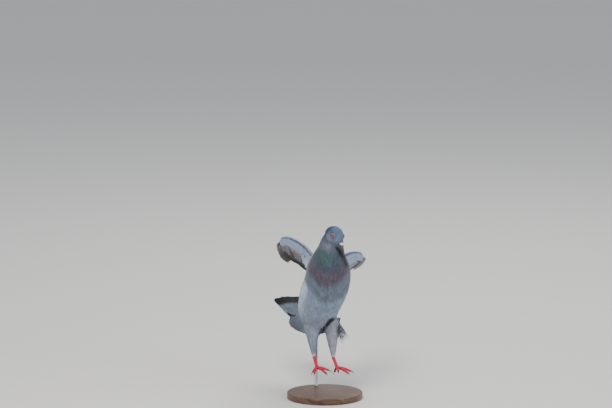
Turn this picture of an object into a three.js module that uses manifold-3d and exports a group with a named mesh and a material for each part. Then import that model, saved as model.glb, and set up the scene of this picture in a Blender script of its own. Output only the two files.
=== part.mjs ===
// A life-size rock pigeon hopping with half-raised wings, on a plain display stand.
// Millimetres, +Z up. The bird faces -Y, so its left side is +X. The origin is the centre of the
// stand's underside. Bill, eyes, claws and feathers are pieces of their own.
import * as THREE from 'three';
import { mergeVertices } from 'three/addons/utils/BufferGeometryUtils.js';
import loadManifold from 'manifold-3d';

// ---------------------------------------------------------------- driving dimensions

const GAP = 0.3; // between neighbouring pieces
const RING = 22; // points round a body section
const TOLERANCE = 0.08; // finest detail kept in a solid
const WELD = 0.02; // corners nearer than this become one

// Stand.
const BASE_RADIUS = 60;
const BASE_HEIGHT = 10;
const BASE_BEVEL = 1.5;
const ROD_RADIUS = 2.2;
const ROD_AT = [-8, 44];
const ROD_TOP = 108;

// Neck, trunk and rump: [x, y, z, half width, depth to the back, depth to the breast].
const BODY = [
  [4.5, -51, 277, 8, 7, 7],
  [4.5, -50, 269, 15.5, 14, 13],
  [5, -48, 259, 19.4, 17.5, 16.5],
  [4, -44, 247, 21.5, 20, 20],
  [2.6, -35, 230, 28.5, 25.5, 26.5],
  [3, -22, 210, 35.5, 31, 33.5],
  [2.4, -9, 189, 36.6, 33.5, 38.5],
  [-3.5, 3, 168, 35.8, 33.5, 39],
  [-8, 15, 147, 33.5, 31.5, 36],
  [-9.5, 29, 128, 31.5, 27.5, 30.5],
  [-12.5, 46, 114, 31.5, 21.5, 22],
  [-17.5, 66, 109.5, 32, 15, 15],
  [-20, 88, 111.5, 26, 8.5, 8.5],
  [-22.5, 106, 114, 17.5, 3.4, 3.6],
];
const SECTION_POWER = 2.15; // 2 is an ellipse; more is squarer
const NECK_ENDS = 4.35; // where the neck meets the trunk, in rows of BODY
const TRUNK_ENDS = 10.7; // where the trunk meets the rump, in rows of BODY

// Head, in its own axes: forward along the bill, left, up.
const HEAD_AT = [8.4, -57, 270.9];
const HEAD_TURN = 36; // degrees to the bird's left
const HEAD_DIP = 37; // degrees below level
const HEAD_ROLL = -11; // degrees; below zero tips the left side down
// [forward, half width, height above, depth below]
const HEAD = [
  [-18.2, 0.6, 0.6, 0.6],
  [-16.4, 7, 6.4, 6.6],
  [-11, 12.4, 12, 12],
  [-4, 14.4, 15, 14],
  [3, 14, 14.8, 13.8],
  [9, 11.2, 11.8, 11.6],
  [13.6, 7.4, 7.6, 8.6],
  [16.6, 4.4, 3.8, 5.4],
  [17.6, 1.2, 1, 1.6],
];
const EYE_RADIUS = 4.7;
const EYE_AT = [3.4, 10.6, 4.2];
const BILL_LENGTH = 19.5;
const BILL_BASE = 14.2; // forward of the head's centre
const BILL_DROP = 12; // degrees below the head's own axis
const BILL_HALF_WIDTH = 3.0;
const CERE_RADII = [4.0, 2.3, 2.0];

// Tail.
const TAIL_FEATHERS = 12;
const TAIL_ROOT = [-16, 72, 109];
const TAIL_LENGTH = 113;
const TAIL_TURN = 4; // degrees to the bird's right
const TAIL_RISE = 11;
const TAIL_SPREAD = 10; // degrees from the middle to the outer feather
const TAIL_ROOT_SPACING = 2.6;
const TAIL_EDGE_WIDTH = 15;
const TAIL_ROLL = 9; // degrees, the right side up
const TAIL_ARCH = 1.5; // the outer feathers' roots lie this far below the middle ones

// Wings: the leading edge from the shoulder round the wrist to the hand's tip, and the inner
// joints. An aim is a turn from straight back towards +X and a drop below level, in degrees.
const WINGS = [
  {
    name: 'right',
    side: -1,
    edge: [
      [-18, -14, 226],
      [-32, 4, 244],
      [-49, 19, 254],
      [-60, 34, 254],
      [-65, 52, 245.5],
      [-57.5, 92, 233],
    ],
    elbow: [-17, 38, 220],
    wrist: [-57, 45, 247],
    outerAim: { turn: 10.5, drop: 17.2 },
    innerAim: { turn: 19, drop: 27 },
    rootAim: { turn: 6, drop: 50 },
  },
  {
    name: 'left',
    side: 1,
    edge: [
      [22, -12, 218],
      [33, 0, 230],
      [47, 14, 232],
      [60, 30, 227],
      [67.5, 50, 217],
      [70, 92, 206],
    ],
    elbow: [20, 41, 194],
    wrist: [60, 44, 218],
    outerAim: { turn: 4, drop: 14 },
    innerAim: { turn: -8, drop: 24 },
    rootAim: { turn: -6, drop: 50 },
  },
];
const PRIMARIES = 10;
const SECONDARIES = 11;
const OUTER_PRIMARY = 160;
const INNER_PRIMARY = 98;
const OUTER_SECONDARY = 92;
const INNER_SECONDARY = 74;
const PRIMARY_EDGE_WIDTH = 13; // of the outermost feather's free edge, across
const SECONDARY_EDGE_WIDTH = 20;
const FEATHER_THICKNESS = 0.9;
const FEATHER_RIDGE = 0.35; // of a feather's middle above its edges
const COVERT_REACH = 34; // how far the coverts cover the flight feathers
const ROOT_CHORD = 34; // of the wing where it leaves the shoulder
const ARM_THICKNESS = [11, 9, 7.5, 7, 6, 4];

// Legs, given for the bird's own left or right, with x outward.
const LEGS = [
  { name: 'right', side: -1, hip: [20, 16, 124], ankle: [16.6, 5, 66], foot: [14.1, -13, 52.2], yaw: -22 },
  { name: 'left', side: 1, hip: [12, 16, 124], ankle: [14.2, 5, 64], foot: [17.9, -13, 51.6], yaw: 28 },
];
// [share of the way down, radius across, radius fore and aft]
const THIGH = [
  [0.0, 15.0, 18.0],
  [0.2, 13.0, 15.0],
  [0.42, 10.4, 11.4],
  [0.66, 7.7, 8.2],
  [0.86, 4.9, 5.2],
  [1.0, 3.2, 3.4],
];
const TARSUS_RADIUS = [2.5, 1.9, 1.9, 2.6];
const CLAW_LENGTH = 7.5;
// Toes: turn outward from straight ahead, drop below level, length, radius at the root.
const TOES = [
  { name: 'hind', turn: 168, drop: 42, length: 13, radius: 1.6 },
  { name: 'inner', turn: -30, drop: 6, length: 21, radius: 1.6 },
  { name: 'middle', turn: 0, drop: 8, length: 29, radius: 1.8 },
  { name: 'outer', turn: 39, drop: 12, length: 23, radius: 1.6 },
];

// Colours.
const SLATE = 0x5d6470;
const BLUE_GREY = 0x8b95a3;
const NECK_GREEN = 0x44584f;
const PALE_GREY = 0xa3abb6;
const FLIGHT_GREY = 0x6a6a70;
const RED = 0xd8434f;
const HORN = 0x4a4648;

// ---------------------------------------------------------------- vectors and solids

const wasm = await loadManifold();
wasm.setup();

const point = (p) => new THREE.Vector3(p[0], p[1], p[2]);
const radians = THREE.MathUtils.degToRad;
const UP = new THREE.Vector3(0, 0, 1);

/** A direction from a turn away from straight back towards +X and a drop below level. */
function backward(turn, drop) {
  const level = Math.cos(radians(drop));
  return new THREE.Vector3(
    Math.sin(radians(turn)) * level,
    Math.cos(radians(turn)) * level,
    -Math.sin(radians(drop)),
  );
}

/** The row at place t (0 to rows.length - 1) of a smooth curve through rows of numbers. */
function rowAt(rows, t) {
  const last = rows.length - 1;
  const i = Math.min(Math.floor(t), last - 1);
  const f = t - i;
  const [a, b, c, d] = [-1, 0, 1, 2].map((k) => rows[Math.min(Math.max(i + k, 0), last)]);
  return b.map((value, n) => {
    const slope = (c[n] - a[n]) / 2;
    const nextSlope = (d[n] - value) / 2;
    const rise = c[n] - value;
    return value + f * (slope + f * (3 * rise - 2 * slope - nextSlope + f * (slope + nextSlope - 2 * rise)));
  });
}

/** A closed geometry through rings of points, with a fan of triangles over each end. */
function loft(rings) {
  const size = rings[0].length;
  const points = rings.flat();
  const faces = [];
  for (let r = 0; r + 1 < rings.length; r += 1) {
    for (let k = 0; k < size; k += 1) {
      const a = r * size + k;
      const b = r * size + ((k + 1) % size);
      faces.push(a, b, b + size, a, b + size, a + size);
    }
  }
  for (const [start, flip] of [[0, true], [(rings.length - 1) * size, false]]) {
    const middle = new THREE.Vector3();
    for (let k = 0; k < size; k += 1) middle.addScaledVector(points[start + k], 1 / size);
    points.push(middle);
    const hub = points.length - 1;
    for (let k = 0; k < size; k += 1) {
      const a = start + k;
      const b = start + ((k + 1) % size);
      faces.push(...(flip ? [b, a, hub] : [a, b, hub]));
    }
  }
  const geometry = new THREE.BufferGeometry().setFromPoints(points);
  geometry.setIndex(faces);
  return volumeOf(geometry) < 0 ? insideOut(geometry) : geometry;
}

function volumeOf(geometry) {
  const [p, index] = [geometry.attributes.position, geometry.index.array];
  const [a, b, c] = [new THREE.Vector3(), new THREE.Vector3(), new THREE.Vector3()];
  let sum = 0;
  for (let i = 0; i < index.length; i += 3) {
    a.fromBufferAttribute(p, index[i]);
    b.fromBufferAttribute(p, index[i + 1]);
    c.fromBufferAttribute(p, index[i + 2]);
    sum += a.dot(b.cross(c));
  }
  return sum / 6;
}

function insideOut(geometry) {
  geometry.setIndex(Array.from(geometry.index.array).reverse());
  return geometry;
}

/** A manifold-3d solid from a geometry, moved outward by grow along its normals. */
function solid(geometry, grow = 0) {
  const bare = geometry.clone();
  bare.deleteAttribute('normal');
  bare.deleteAttribute('uv');
  const joined = mergeVertices(bare, 1e-4);
  joined.computeVertexNormals();
  const [p, n] = [joined.attributes.position, joined.attributes.normal];
  const places = new Float32Array(p.count * 3);
  for (let i = 0; i < places.length; i += 1) places[i] = p.array[i] + grow * n.array[i];
  const triangles = new Uint32Array(joined.index.array);
  return new wasm.Manifold(new wasm.Mesh({ numProp: 3, vertProperties: places, triVerts: triangles }));
}

const union = (solids) => solids.reduce((sum, one) => sum.add(one));
const cut = (body, ...tools) => tools.reduce((rest, tool) => rest.subtract(tool), body);

/** The largest single body of a solid, after a cut that may leave crumbs. */
function mainBody(body) {
  return body.decompose().reduce((best, one) => (one.volume() > best.volume() ? one : best));
}

/** The geometry of a solid, with the ends of its very short edges joined. */
function welded(body) {
  const { vertProperties, triVerts } = body.getMesh();
  const places = new THREE.BufferAttribute(new Float32Array(vertProperties), 3);
  const joined = Array.from({ length: places.count }, (_, i) => i);
  const final = (i) => (joined[i] === i ? i : final(joined[i]));
  const [a, b] = [new THREE.Vector3(), new THREE.Vector3()];
  for (let i = 0; i < triVerts.length; i += 1) {
    const next = i % 3 === 2 ? i - 2 : i + 1;
    const [here, there] = [final(triVerts[i]), final(triVerts[next])];
    a.fromBufferAttribute(places, here);
    b.fromBufferAttribute(places, there);
    if (here !== there && a.distanceTo(b) < WELD) joined[there] = here;
  }
  const kept = [];
  for (let i = 0; i < triVerts.length; i += 3) {
    const corners = [final(triVerts[i]), final(triVerts[i + 1]), final(triVerts[i + 2])];
    if (new Set(corners).size === 3) kept.push(...corners);
  }
  const geometry = new THREE.BufferGeometry();
  geometry.setAttribute('position', places);
  geometry.setIndex(kept);
  return mergeVertices(geometry, 1e-5);
}

const pigeon = new THREE.Group();

function add(name, body, color, roughness = 0.8, metalness = 0) {
  const plain = mainBody(body.simplify(TOLERANCE));
  const geometry = welded(mainBody(new wasm.Manifold(plain.getMesh())));
  geometry.computeVertexNormals();
  const mesh = new THREE.Mesh(geometry, new THREE.MeshStandardMaterial({ color, roughness, metalness }));
  mesh.name = name;
  pigeon.add(mesh);
}

// ---------------------------------------------------------------- stand

function standBase() {
  const profile = [
    [0, 0],
    [BASE_RADIUS, 0],
    [BASE_RADIUS, BASE_HEIGHT - BASE_BEVEL],
    [BASE_RADIUS - BASE_BEVEL, BASE_HEIGHT],
    [0, BASE_HEIGHT],
  ];
  const geometry = new THREE.LatheGeometry(profile.map(([r, z]) => new THREE.Vector2(r, z)), 36);
  return solid(geometry.rotateX(Math.PI / 2));
}

function standRod(grow = 0) {
  const bottom = BASE_HEIGHT - 5;
  const radius = ROD_RADIUS + grow;
  const geometry = new THREE.CylinderGeometry(radius, radius, ROD_TOP - bottom + 2 * grow, 16);
  return solid(geometry.rotateX(Math.PI / 2).translate(ROD_AT[0], ROD_AT[1], (ROD_TOP + bottom) / 2));
}

// ---------------------------------------------------------------- neck, trunk and rump

/** One ring of the body, square to its line, at place t along BODY. */
function bodyRing(t) {
  const [x, y, z, width, back, breast] = rowAt(BODY, t);
  const ahead = point(rowAt(BODY, Math.min(t + 0.05, BODY.length - 1)));
  const behind = point(rowAt(BODY, Math.max(t - 0.05, 0)));
  const line = ahead.sub(behind).normalize();
  const toBack = new THREE.Vector3().crossVectors(line, new THREE.Vector3(1, 0, 0)).negate().normalize();
  const toLeft = new THREE.Vector3().crossVectors(line, toBack).normalize();
  if (toLeft.x < 0) toLeft.negate();
  const ring = [];
  for (let k = 0; k < RING; k += 1) {
    const [c, s] = [Math.cos((2 * Math.PI * k) / RING), Math.sin((2 * Math.PI * k) / RING)];
    const across = Math.sign(c) * Math.abs(c) ** (2 / SECTION_POWER) * width;
    const deep = Math.sign(s) * Math.abs(s) ** (2 / SECTION_POWER) * (s > 0 ? back : breast);
    ring.push(new THREE.Vector3(x, y, z).addScaledVector(toLeft, across).addScaledVector(toBack, deep));
  }
  return ring;
}

function bodyLength(from, to, steps) {
  const rings = [];
  for (let i = 0; i <= steps; i += 1) rings.push(bodyRing(from + ((to - from) * i) / steps));
  return loft(rings);
}

// ---------------------------------------------------------------- head, eyes and bill

const headTurn = radians(HEAD_TURN);
const headDip = radians(HEAD_DIP);
const headForward = new THREE.Vector3(
  Math.sin(headTurn) * Math.cos(headDip),
  -Math.cos(headTurn) * Math.cos(headDip),
  -Math.sin(headDip),
);
const headLeft = new THREE.Vector3(Math.cos(headTurn), Math.sin(headTurn), 0);
headLeft.applyAxisAngle(headForward, radians(HEAD_ROLL));
const headUp = new THREE.Vector3().crossVectors(headForward, headLeft);

/** A place given along the head's own axes. */
const onHead = (forward, left, up) => point(HEAD_AT)
  .addScaledVector(headForward, forward)
  .addScaledVector(headLeft, left)
  .addScaledVector(headUp, up);

function headShape() {
  const rings = [];
  const steps = Math.round((HEAD.length - 1) * 1.5);
  for (let i = 0; i <= steps; i += 1) {
    const [forward, width, above, below] = rowAt(HEAD, i / 1.5);
    const ring = [];
    for (let k = 0; k < RING; k += 1) {
      const [c, s] = [Math.cos((2 * Math.PI * k) / RING), Math.sin((2 * Math.PI * k) / RING)];
      ring.push(onHead(forward, width * c, (s > 0 ? above : below) * s));
    }
    rings.push(ring);
  }
  return loft(rings);
}

function eyeBall(side) {
  const centre = onHead(EYE_AT[0], EYE_AT[1] * side, EYE_AT[2]);
  return new THREE.SphereGeometry(EYE_RADIUS, 11, 8).translate(centre.x, centre.y, centre.z);
}

/** Half of the bill: the upper half hooks a little over the tip of the lower. */
function billHalf(isUpper) {
  const drop = radians(BILL_DROP);
  const length = isUpper ? BILL_LENGTH : BILL_LENGTH - 1.4;
  const rings = [];
  const steps = 8;
  for (let i = 0; i <= steps; i += 1) {
    const f = i / steps;
    const taper = Math.sqrt(1 - 0.93 * f ** 2.2);
    const width = BILL_HALF_WIDTH * taper * (1 - 0.25 * f);
    const height = (isUpper ? 3.2 : 2.3) * taper * (1 - 0.25 * f);
    const hook = isUpper ? 1.5 * Math.max(0, (f - 0.55) / 0.45) ** 2 : 0.2 * f;
    const forward = BILL_BASE + f * length * Math.cos(drop);
    const middle = -1.0 - f * length * Math.sin(drop) - hook;
    const ring = [];
    for (let k = 0; k < 10; k += 1) {
      const [c, s] = [Math.cos((2 * Math.PI * k) / 10), Math.sin((2 * Math.PI * k) / 10)];
      const seam = isUpper ? GAP / 2 : -GAP / 2;
      const rise = isUpper ? Math.max(s, 0) * height : Math.min(s, 0) * height;
      ring.push(onHead(forward, c * width, middle + seam + rise + (isUpper ? 0.1 : -0.1) * Math.abs(s)));
    }
    rings.push(ring);
  }
  return loft(rings);
}

function cereShape() {
  const lobes = [-1, 1].map((side) => {
    const ball = new THREE.SphereGeometry(1, 8, 5).scale(CERE_RADII[0], CERE_RADII[1], CERE_RADII[2]);
    const axes = new THREE.Matrix4().makeBasis(headForward, headLeft, headUp);
    const place = onHead(BILL_BASE + 4.4, side * 1.75, 1.2);
    return solid(ball.applyMatrix4(axes.setPosition(place)));
  });
  return union(lobes);
}

// ---------------------------------------------------------------- feathers

/** A place on a feather's middle line, at share f of its length, with its face and width axes. */
function onFeather({ root, aim, up, length, start = 0, bend = 0 }, f) {
  const across = new THREE.Vector3().crossVectors(aim, up).normalize();
  const face = new THREE.Vector3().crossVectors(across, aim).normalize();
  const place = root.clone()
    .addScaledVector(aim, start + f * (length - start))
    .addScaledVector(face, -bend * f * f);
  return { place, across, face };
}

/**
 * Overlapping feathers as one thin solid, from the first to the last, left to right as seen with
 * their tips away. Each feather's tip stands past the notch between it and its neighbour.
 */
function fan(feathers) {
  const stops = [0, 0.4, 0.75, 0.93, 1];
  const rings = stops.map((f) => {
    const row = [];
    feathers.forEach((feather, i) => {
      const { place, across, face } = onFeather(feather, f);
      const edge = (feather.width / 2) * Math.sqrt(1 - 0.85 * Math.max(0, (f - 0.75) / 0.25) ** 2);
      if (i === 0) row.push({ place: place.clone().addScaledVector(across, -edge), face });
      row.push({ place: place.clone().addScaledVector(face, FEATHER_RIDGE), face });
      if (i === feathers.length - 1) {
        row.push({ place: place.clone().addScaledVector(across, edge), face });
        return;
      }
      const reach = f * feather.notch;
      const here = onFeather(feather, reach).place;
      const there = onFeather(feathers[i + 1], reach).place;
      row.push({ place: here.lerp(there, 0.5), face });
    });
    const side = (rise) => row.map(({ place, face }) => place.clone().addScaledVector(face, rise));
    return [...side(FEATHER_THICKNESS / 2), ...side(-FEATHER_THICKNESS / 2).reverse()];
  });
  return loft(rings);
}

function tailFan() {
  const feathers = [];
  const middle = (TAIL_FEATHERS - 1) / 2;
  const axis = backward(-TAIL_TURN, -TAIL_RISE);
  const rolled = (vector) => vector.applyAxisAngle(axis, radians(TAIL_ROLL));
  for (let i = 0; i < TAIL_FEATHERS; i += 1) {
    const out = (i - middle) / middle;
    const offset = new THREE.Vector3((i - middle) * TAIL_ROOT_SPACING, 0, -TAIL_ARCH * out * out);
    feathers.push({
      root: point(TAIL_ROOT).add(rolled(offset)),
      aim: rolled(backward(-TAIL_TURN + TAIL_SPREAD * out, -TAIL_RISE)),
      up: rolled(UP.clone().addScaledVector(new THREE.Vector3(1, 0, 0), 0.3 * out)),
      length: TAIL_LENGTH * (1 - 0.05 * out * out),
      width: TAIL_EDGE_WIDTH,
      notch: 0.97,
    });
  }
  return fan(feathers);
}

// ---------------------------------------------------------------- wings

/**
 * Direction of a flight feather at share u of the way inward: 0 is the outermost primary, at the
 * hand's tip, 0.5 is at the wrist and 1 is the innermost secondary, at the elbow.
 */
function flightAim(wing, u) {
  const { outerAim, innerAim } = wing;
  const ease = u * u * (3 - 2 * u);
  return backward(
    outerAim.turn + (innerAim.turn - outerAim.turn) * ease,
    outerAim.drop + (innerAim.drop - outerAim.drop) * ease,
  );
}

/** Where that feather is rooted on the hand or the forearm. */
function flightRoot(wing, u) {
  const [hand, wrist, elbow] = [point(wing.edge[5]), point(wing.wrist), point(wing.elbow)];
  return u < 0.5 ? hand.lerp(wrist, u / 0.5) : wrist.lerp(elbow, (u - 0.5) / 0.5);
}

/** The wing's upper face: square to its feathers and to the line from elbow to wrist. */
function wingUp(wing) {
  const span = point(wing.wrist).sub(point(wing.elbow)).multiplyScalar(wing.side);
  const up = new THREE.Vector3().crossVectors(span, flightAim(wing, 0.4)).normalize();
  return up.z < 0 ? up.negate() : up;
}

/**
 * Primaries and secondaries, from the outermost to the innermost, as one thin fan. The primaries lie
 * nearly on each other, so every third one gives their outline.
 */
function flightFeathers(wing) {
  const feathers = [];
  const last = PRIMARIES + SECONDARIES - 1;
  for (let i = 0; i <= last; i += i < PRIMARIES - 1 ? 3 : 1) {
    const isPrimary = i < PRIMARIES;
    const inward = isPrimary ? i / (PRIMARIES - 1) : (i - PRIMARIES) / (SECONDARIES - 1);
    const [from, to] = isPrimary ? [OUTER_PRIMARY, INNER_PRIMARY] : [OUTER_SECONDARY, INNER_SECONDARY];
    feathers.push({
      root: flightRoot(wing, i / last),
      aim: flightAim(wing, i / last),
      up: wingUp(wing),
      start: COVERT_REACH + 2 * GAP,
      length: from + (to - from) * inward,
      width: isPrimary ? PRIMARY_EDGE_WIDTH : SECONDARY_EDGE_WIDTH,
      bend: 7,
      notch: isPrimary ? 1 : 0.95,
    });
  }
  return fan(wing.side < 0 ? feathers : feathers.reverse());
}

/** Rear end of the arm's covering of small feathers, at place t along the leading edge. */
function covertEnd(wing, t) {
  const atElbow = 1.5;
  const u = Math.min((5 - t) / (5 - atElbow), 1);
  const end = flightRoot(wing, u).addScaledVector(flightAim(wing, u), COVERT_REACH);
  if (t >= atElbow) return end;
  const aim = backward(wing.rootAim.turn, wing.rootAim.drop);
  return point(wing.edge[0]).addScaledVector(aim, ROOT_CHORD).lerp(end, t / atElbow);
}

/** One section of the arm from its leading edge to the end of its coverts, thick in front. */
function armRing(wing, t) {
  const front = point(rowAt(wing.edge, t));
  const rear = covertEnd(wing, t);
  const chord = rear.clone().sub(front);
  const next = point(rowAt(wing.edge, Math.min(t + 0.1, 5)));
  const last = point(rowAt(wing.edge, Math.max(t - 0.1, 0)));
  const face = new THREE.Vector3().crossVectors(next.sub(last), chord).multiplyScalar(-wing.side).normalize();
  const [thick] = rowAt(ARM_THICKNESS.map((value) => [value]), t);
  const shares = [1, 0.72, 0.45, 0.22, 0.07, 0];
  const half = (share) => (share === 0 ? 0 : 0.65 + (thick / 2) * Math.sqrt(share) * (1 - share) * 2.4);
  const top = shares.map((share) => [share, half(share)]);
  const under = shares.slice(0, -1).reverse().map((share) => [share, -half(share)]);
  return [...top, ...under].map(([share, rise]) => front.clone()
    .addScaledVector(chord, share)
    .addScaledVector(face, rise));
}

function armLength(wing, from, to, steps) {
  const rings = [];
  for (let i = 0; i <= steps; i += 1) rings.push(armRing(wing, from + ((to - from) * i) / steps));
  return loft(rings);
}

// ---------------------------------------------------------------- legs

const sided = (p, side) => new THREE.Vector3(p[0] * side, p[1], p[2]);

/** A round bar from place to place, with a radius at each. */
function bar(places, radii, sides = 12) {
  const rings = places.map((place, i) => {
    const before = places[Math.max(i - 1, 0)];
    const after = places[Math.min(i + 1, places.length - 1)];
    const line = after.clone().sub(before).normalize();
    const level = new THREE.Vector3(1, 0, 0);
    const a = level.addScaledVector(line, -level.dot(line)).normalize();
    const b = new THREE.Vector3().crossVectors(line, a);
    const ring = [];
    for (let k = 0; k < sides; k += 1) {
      const angle = (2 * Math.PI * k) / sides;
      ring.push(place.clone()
        .addScaledVector(a, Math.cos(angle) * radii[i][0])
        .addScaledVector(b, Math.sin(angle) * radii[i][1]));
    }
    return ring;
  });
  return loft(rings);
}

function thigh(leg) {
  const [hip, ankle] = [sided(leg.hip, leg.side), sided(leg.ankle, leg.side)];
  const steps = (THIGH.length - 1) * 2;
  const [places, radii] = [[], []];
  for (let i = 0; i <= steps; i += 1) {
    const [share, across, deep] = rowAt(THIGH, i / 2);
    places.push(hip.clone().lerp(ankle, share));
    radii.push([across, deep]);
  }
  return bar(places, radii, 14);
}

function tarsus(leg) {
  const [ankle, foot] = [sided(leg.ankle, leg.side), sided(leg.foot, leg.side)];
  const line = foot.clone().sub(ankle);
  const places = [-0.12, 0.25, 0.75, 1.08].map((share) => ankle.clone().addScaledVector(line, share));
  return bar(places, TARSUS_RADIUS.map((r) => [r, r]), 8);
}

/** The way a toe points on the leg's own side. */
function toeAim(leg, toe) {
  const level = Math.cos(radians(toe.drop));
  return new THREE.Vector3(
    Math.sin(radians(toe.turn + leg.yaw)) * level * leg.side,
    -Math.cos(radians(toe.turn + leg.yaw)) * level,
    -Math.sin(radians(toe.drop)),
  );
}

/** The middle line of a toe or its claw: bowed up a little, then curling down. */
function toePlace(leg, toe, distance) {
  const f = Math.min(distance / toe.length, 1);
  return sided(leg.foot, leg.side)
    .addScaledVector(toeAim(leg, toe), distance)
    .addScaledVector(UP, 1.4 * Math.sin(Math.PI * f));
}

function toeShape(leg, toe) {
  const joints = toe.length > 15 ? 3 : 2;
  const steps = joints * 2;
  const [places, radii] = [[], []];
  for (let i = 0; i <= steps; i += 1) {
    const f = i / steps;
    const knuckle = i % 2 === 0 ? 1.08 : 0.9;
    const radius = toe.radius * (1 - 0.35 * f) * knuckle;
    places.push(toePlace(leg, toe, f * toe.length));
    radii.push([radius, radius]);
  }
  return bar(places, radii, 8);
}

function clawShape(leg, toe) {
  const aim = toeAim(leg, toe);
  const start = toePlace(leg, toe, toe.length);
  const [places, radii] = [[], []];
  const steps = 4;
  for (let i = 0; i <= steps; i += 1) {
    const f = i / steps;
    const radius = 1.0 * (1 - f) + 0.22;
    const place = start.clone().addScaledVector(aim, -1 + f * CLAW_LENGTH);
    places.push(place.addScaledVector(UP, 0.5 - 2.6 * f * f));
    radii.push([radius * 0.8, radius]);
  }
  return bar(places, radii, 6);
}

// ---------------------------------------------------------------- assembly

const rodHole = standRod(GAP);
const rod = standRod();
add('stand_base', cut(standBase(), rodHole), 0x4b3425, 0.55);
add('stand_rod', rod, 0x8d9094, 0.3, 1);

const head = headShape();
const grownHead = solid(head, GAP);
const eyes = { left: eyeBall(1), right: eyeBall(-1) };
const upperBill = billHalf(true);
const lowerBill = billHalf(false);
const grownEyes = [solid(eyes.left, GAP), solid(eyes.right, GAP)];
add('head', cut(solid(head), ...grownEyes), BLUE_GREY);
for (const [name, ball] of Object.entries(eyes)) add(`eye_${name}`, solid(ball), 0xd0582a, 0.1);
add('bill_upper', cut(solid(upperBill), grownHead), HORN, 0.45);
add('bill_lower', cut(solid(lowerBill), grownHead, solid(upperBill, GAP)), HORN, 0.45);
add('cere', cut(cereShape(), grownHead, solid(upperBill, GAP), solid(lowerBill, GAP)), 0xe4e0da, 0.85);

const seam = 0.008; // half of the cut between body lengths, in rows of BODY
const neck = bodyLength(0, NECK_ENDS - seam, 7);
const trunk = bodyLength(NECK_ENDS + seam, TRUNK_ENDS - seam, 15);
const rump = bodyLength(TRUNK_ENDS + seam, BODY.length - 1, 6);
const grownNeck = solid(neck, GAP);
const grownTrunk = solid(trunk, GAP);
const grownRump = solid(rump, GAP);
add('neck', cut(solid(neck), grownHead, ...grownEyes), NECK_GREEN, 0.5);
add('rump', cut(solid(rump), rodHole), PALE_GREY);
add('tail', cut(solid(tailFan()), grownRump, grownTrunk), FLIGHT_GREY, 0.7);
add('trunk', cut(solid(trunk), rodHole), SLATE);

for (const wing of WINGS) {
  const arm = armLength(wing, 0, 3.55, 12);
  const hand = armLength(wing, 3.6, 5, 7);
  const body = [grownTrunk, grownNeck];
  add(`wing_arm_${wing.name}`, cut(solid(arm), ...body), BLUE_GREY);
  add(`wing_hand_${wing.name}`, solid(hand), BLUE_GREY);
  add(`flight_feathers_${wing.name}`, cut(solid(flightFeathers(wing)), ...body), FLIGHT_GREY, 0.7);
}

for (const leg of LEGS) {
  const shin = thigh(leg);
  const shank = tarsus(leg);
  add(`thigh_${leg.name}`, cut(solid(shin), grownTrunk, grownRump, rodHole), BLUE_GREY);
  add(`tarsus_${leg.name}`, cut(solid(shank), solid(shin, GAP)), RED, 0.6);
  const taken = [solid(shank, GAP)];
  for (const toe of TOES) {
    const shape = toeShape(leg, toe);
    const claw = clawShape(leg, toe);
    add(`toe_${toe.name}_${leg.name}`, cut(solid(shape), ...taken), RED, 0.6);
    taken.push(solid(shape, GAP));
    add(`claw_${toe.name}_${leg.name}`, cut(solid(claw), solid(shape, GAP)), HORN, 0.4);
  }
}

export default pigeon;
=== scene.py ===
"""A life-size pigeon in mid-hop on a plain display stand, feathered over the CAD frame."""

import math

import bmesh
import bpy
import numpy as np
from mathutils import Matrix, Vector
from mathutils.bvhtree import BVHTree
from mathutils.kdtree import KDTree


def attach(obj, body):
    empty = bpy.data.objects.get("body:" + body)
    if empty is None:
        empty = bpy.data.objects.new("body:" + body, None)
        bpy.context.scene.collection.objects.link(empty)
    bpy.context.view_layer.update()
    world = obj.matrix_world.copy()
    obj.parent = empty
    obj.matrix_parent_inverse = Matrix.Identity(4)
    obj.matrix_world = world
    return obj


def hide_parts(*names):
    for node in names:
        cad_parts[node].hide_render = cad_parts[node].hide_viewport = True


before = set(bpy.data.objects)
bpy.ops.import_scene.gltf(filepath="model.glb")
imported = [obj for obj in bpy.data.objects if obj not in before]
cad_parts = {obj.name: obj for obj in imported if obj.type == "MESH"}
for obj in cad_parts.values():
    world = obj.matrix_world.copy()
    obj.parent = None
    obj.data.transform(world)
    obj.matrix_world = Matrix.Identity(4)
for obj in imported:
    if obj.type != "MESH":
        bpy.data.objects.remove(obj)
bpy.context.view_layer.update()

MM = 0.001


def in_scene(name, data):
    """A new object that shows the data."""
    obj = bpy.data.objects.new(name, data)
    bpy.context.collection.objects.link(obj)
    return obj


# ---- camera, floor and light

CAMERA_AZIMUTH = -7.0
CAMERA_ELEVATION = 10.0
CAMERA_DISTANCE = 8.095
CAMERA_LENS = 300.0
CAMERA_AIM = Vector((-0.0231, 0.0566, 0.3029))
LIGHT_AIM = Vector((0, 0, 0.17))
# Azimuth, elevation, distance, size, watts and colour of each lamp.
LAMPS = {
    "key": (-24, 52, 2.2, 0.9, 44, (1.0, 0.96, 0.90)),
    "fill": (50, 24, 2.4, 1.6, 20, (0.88, 0.93, 1.0)),
    "rim": (160, 50, 2.2, 0.9, 24, (1.0, 0.98, 0.95)),
}
FLOOR_HALF, FLOOR_COLOR = 30.0, (0.62, 0.61, 0.59, 1)
SKY_COLOR, SKY_STRENGTH = (0.80, 0.84, 0.90, 1), 0.75


def look_at(obj, aim, azimuth, elevation, distance):
    """Puts a camera or light at a distance from aim, facing it."""
    a, e = math.radians(azimuth), math.radians(elevation)
    away = Vector((math.sin(a) * math.cos(e), -math.cos(a) * math.cos(e), math.sin(e)))
    obj.location = aim + away * distance
    obj.rotation_euler = away.to_track_quat("Z", "Y").to_euler()


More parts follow.
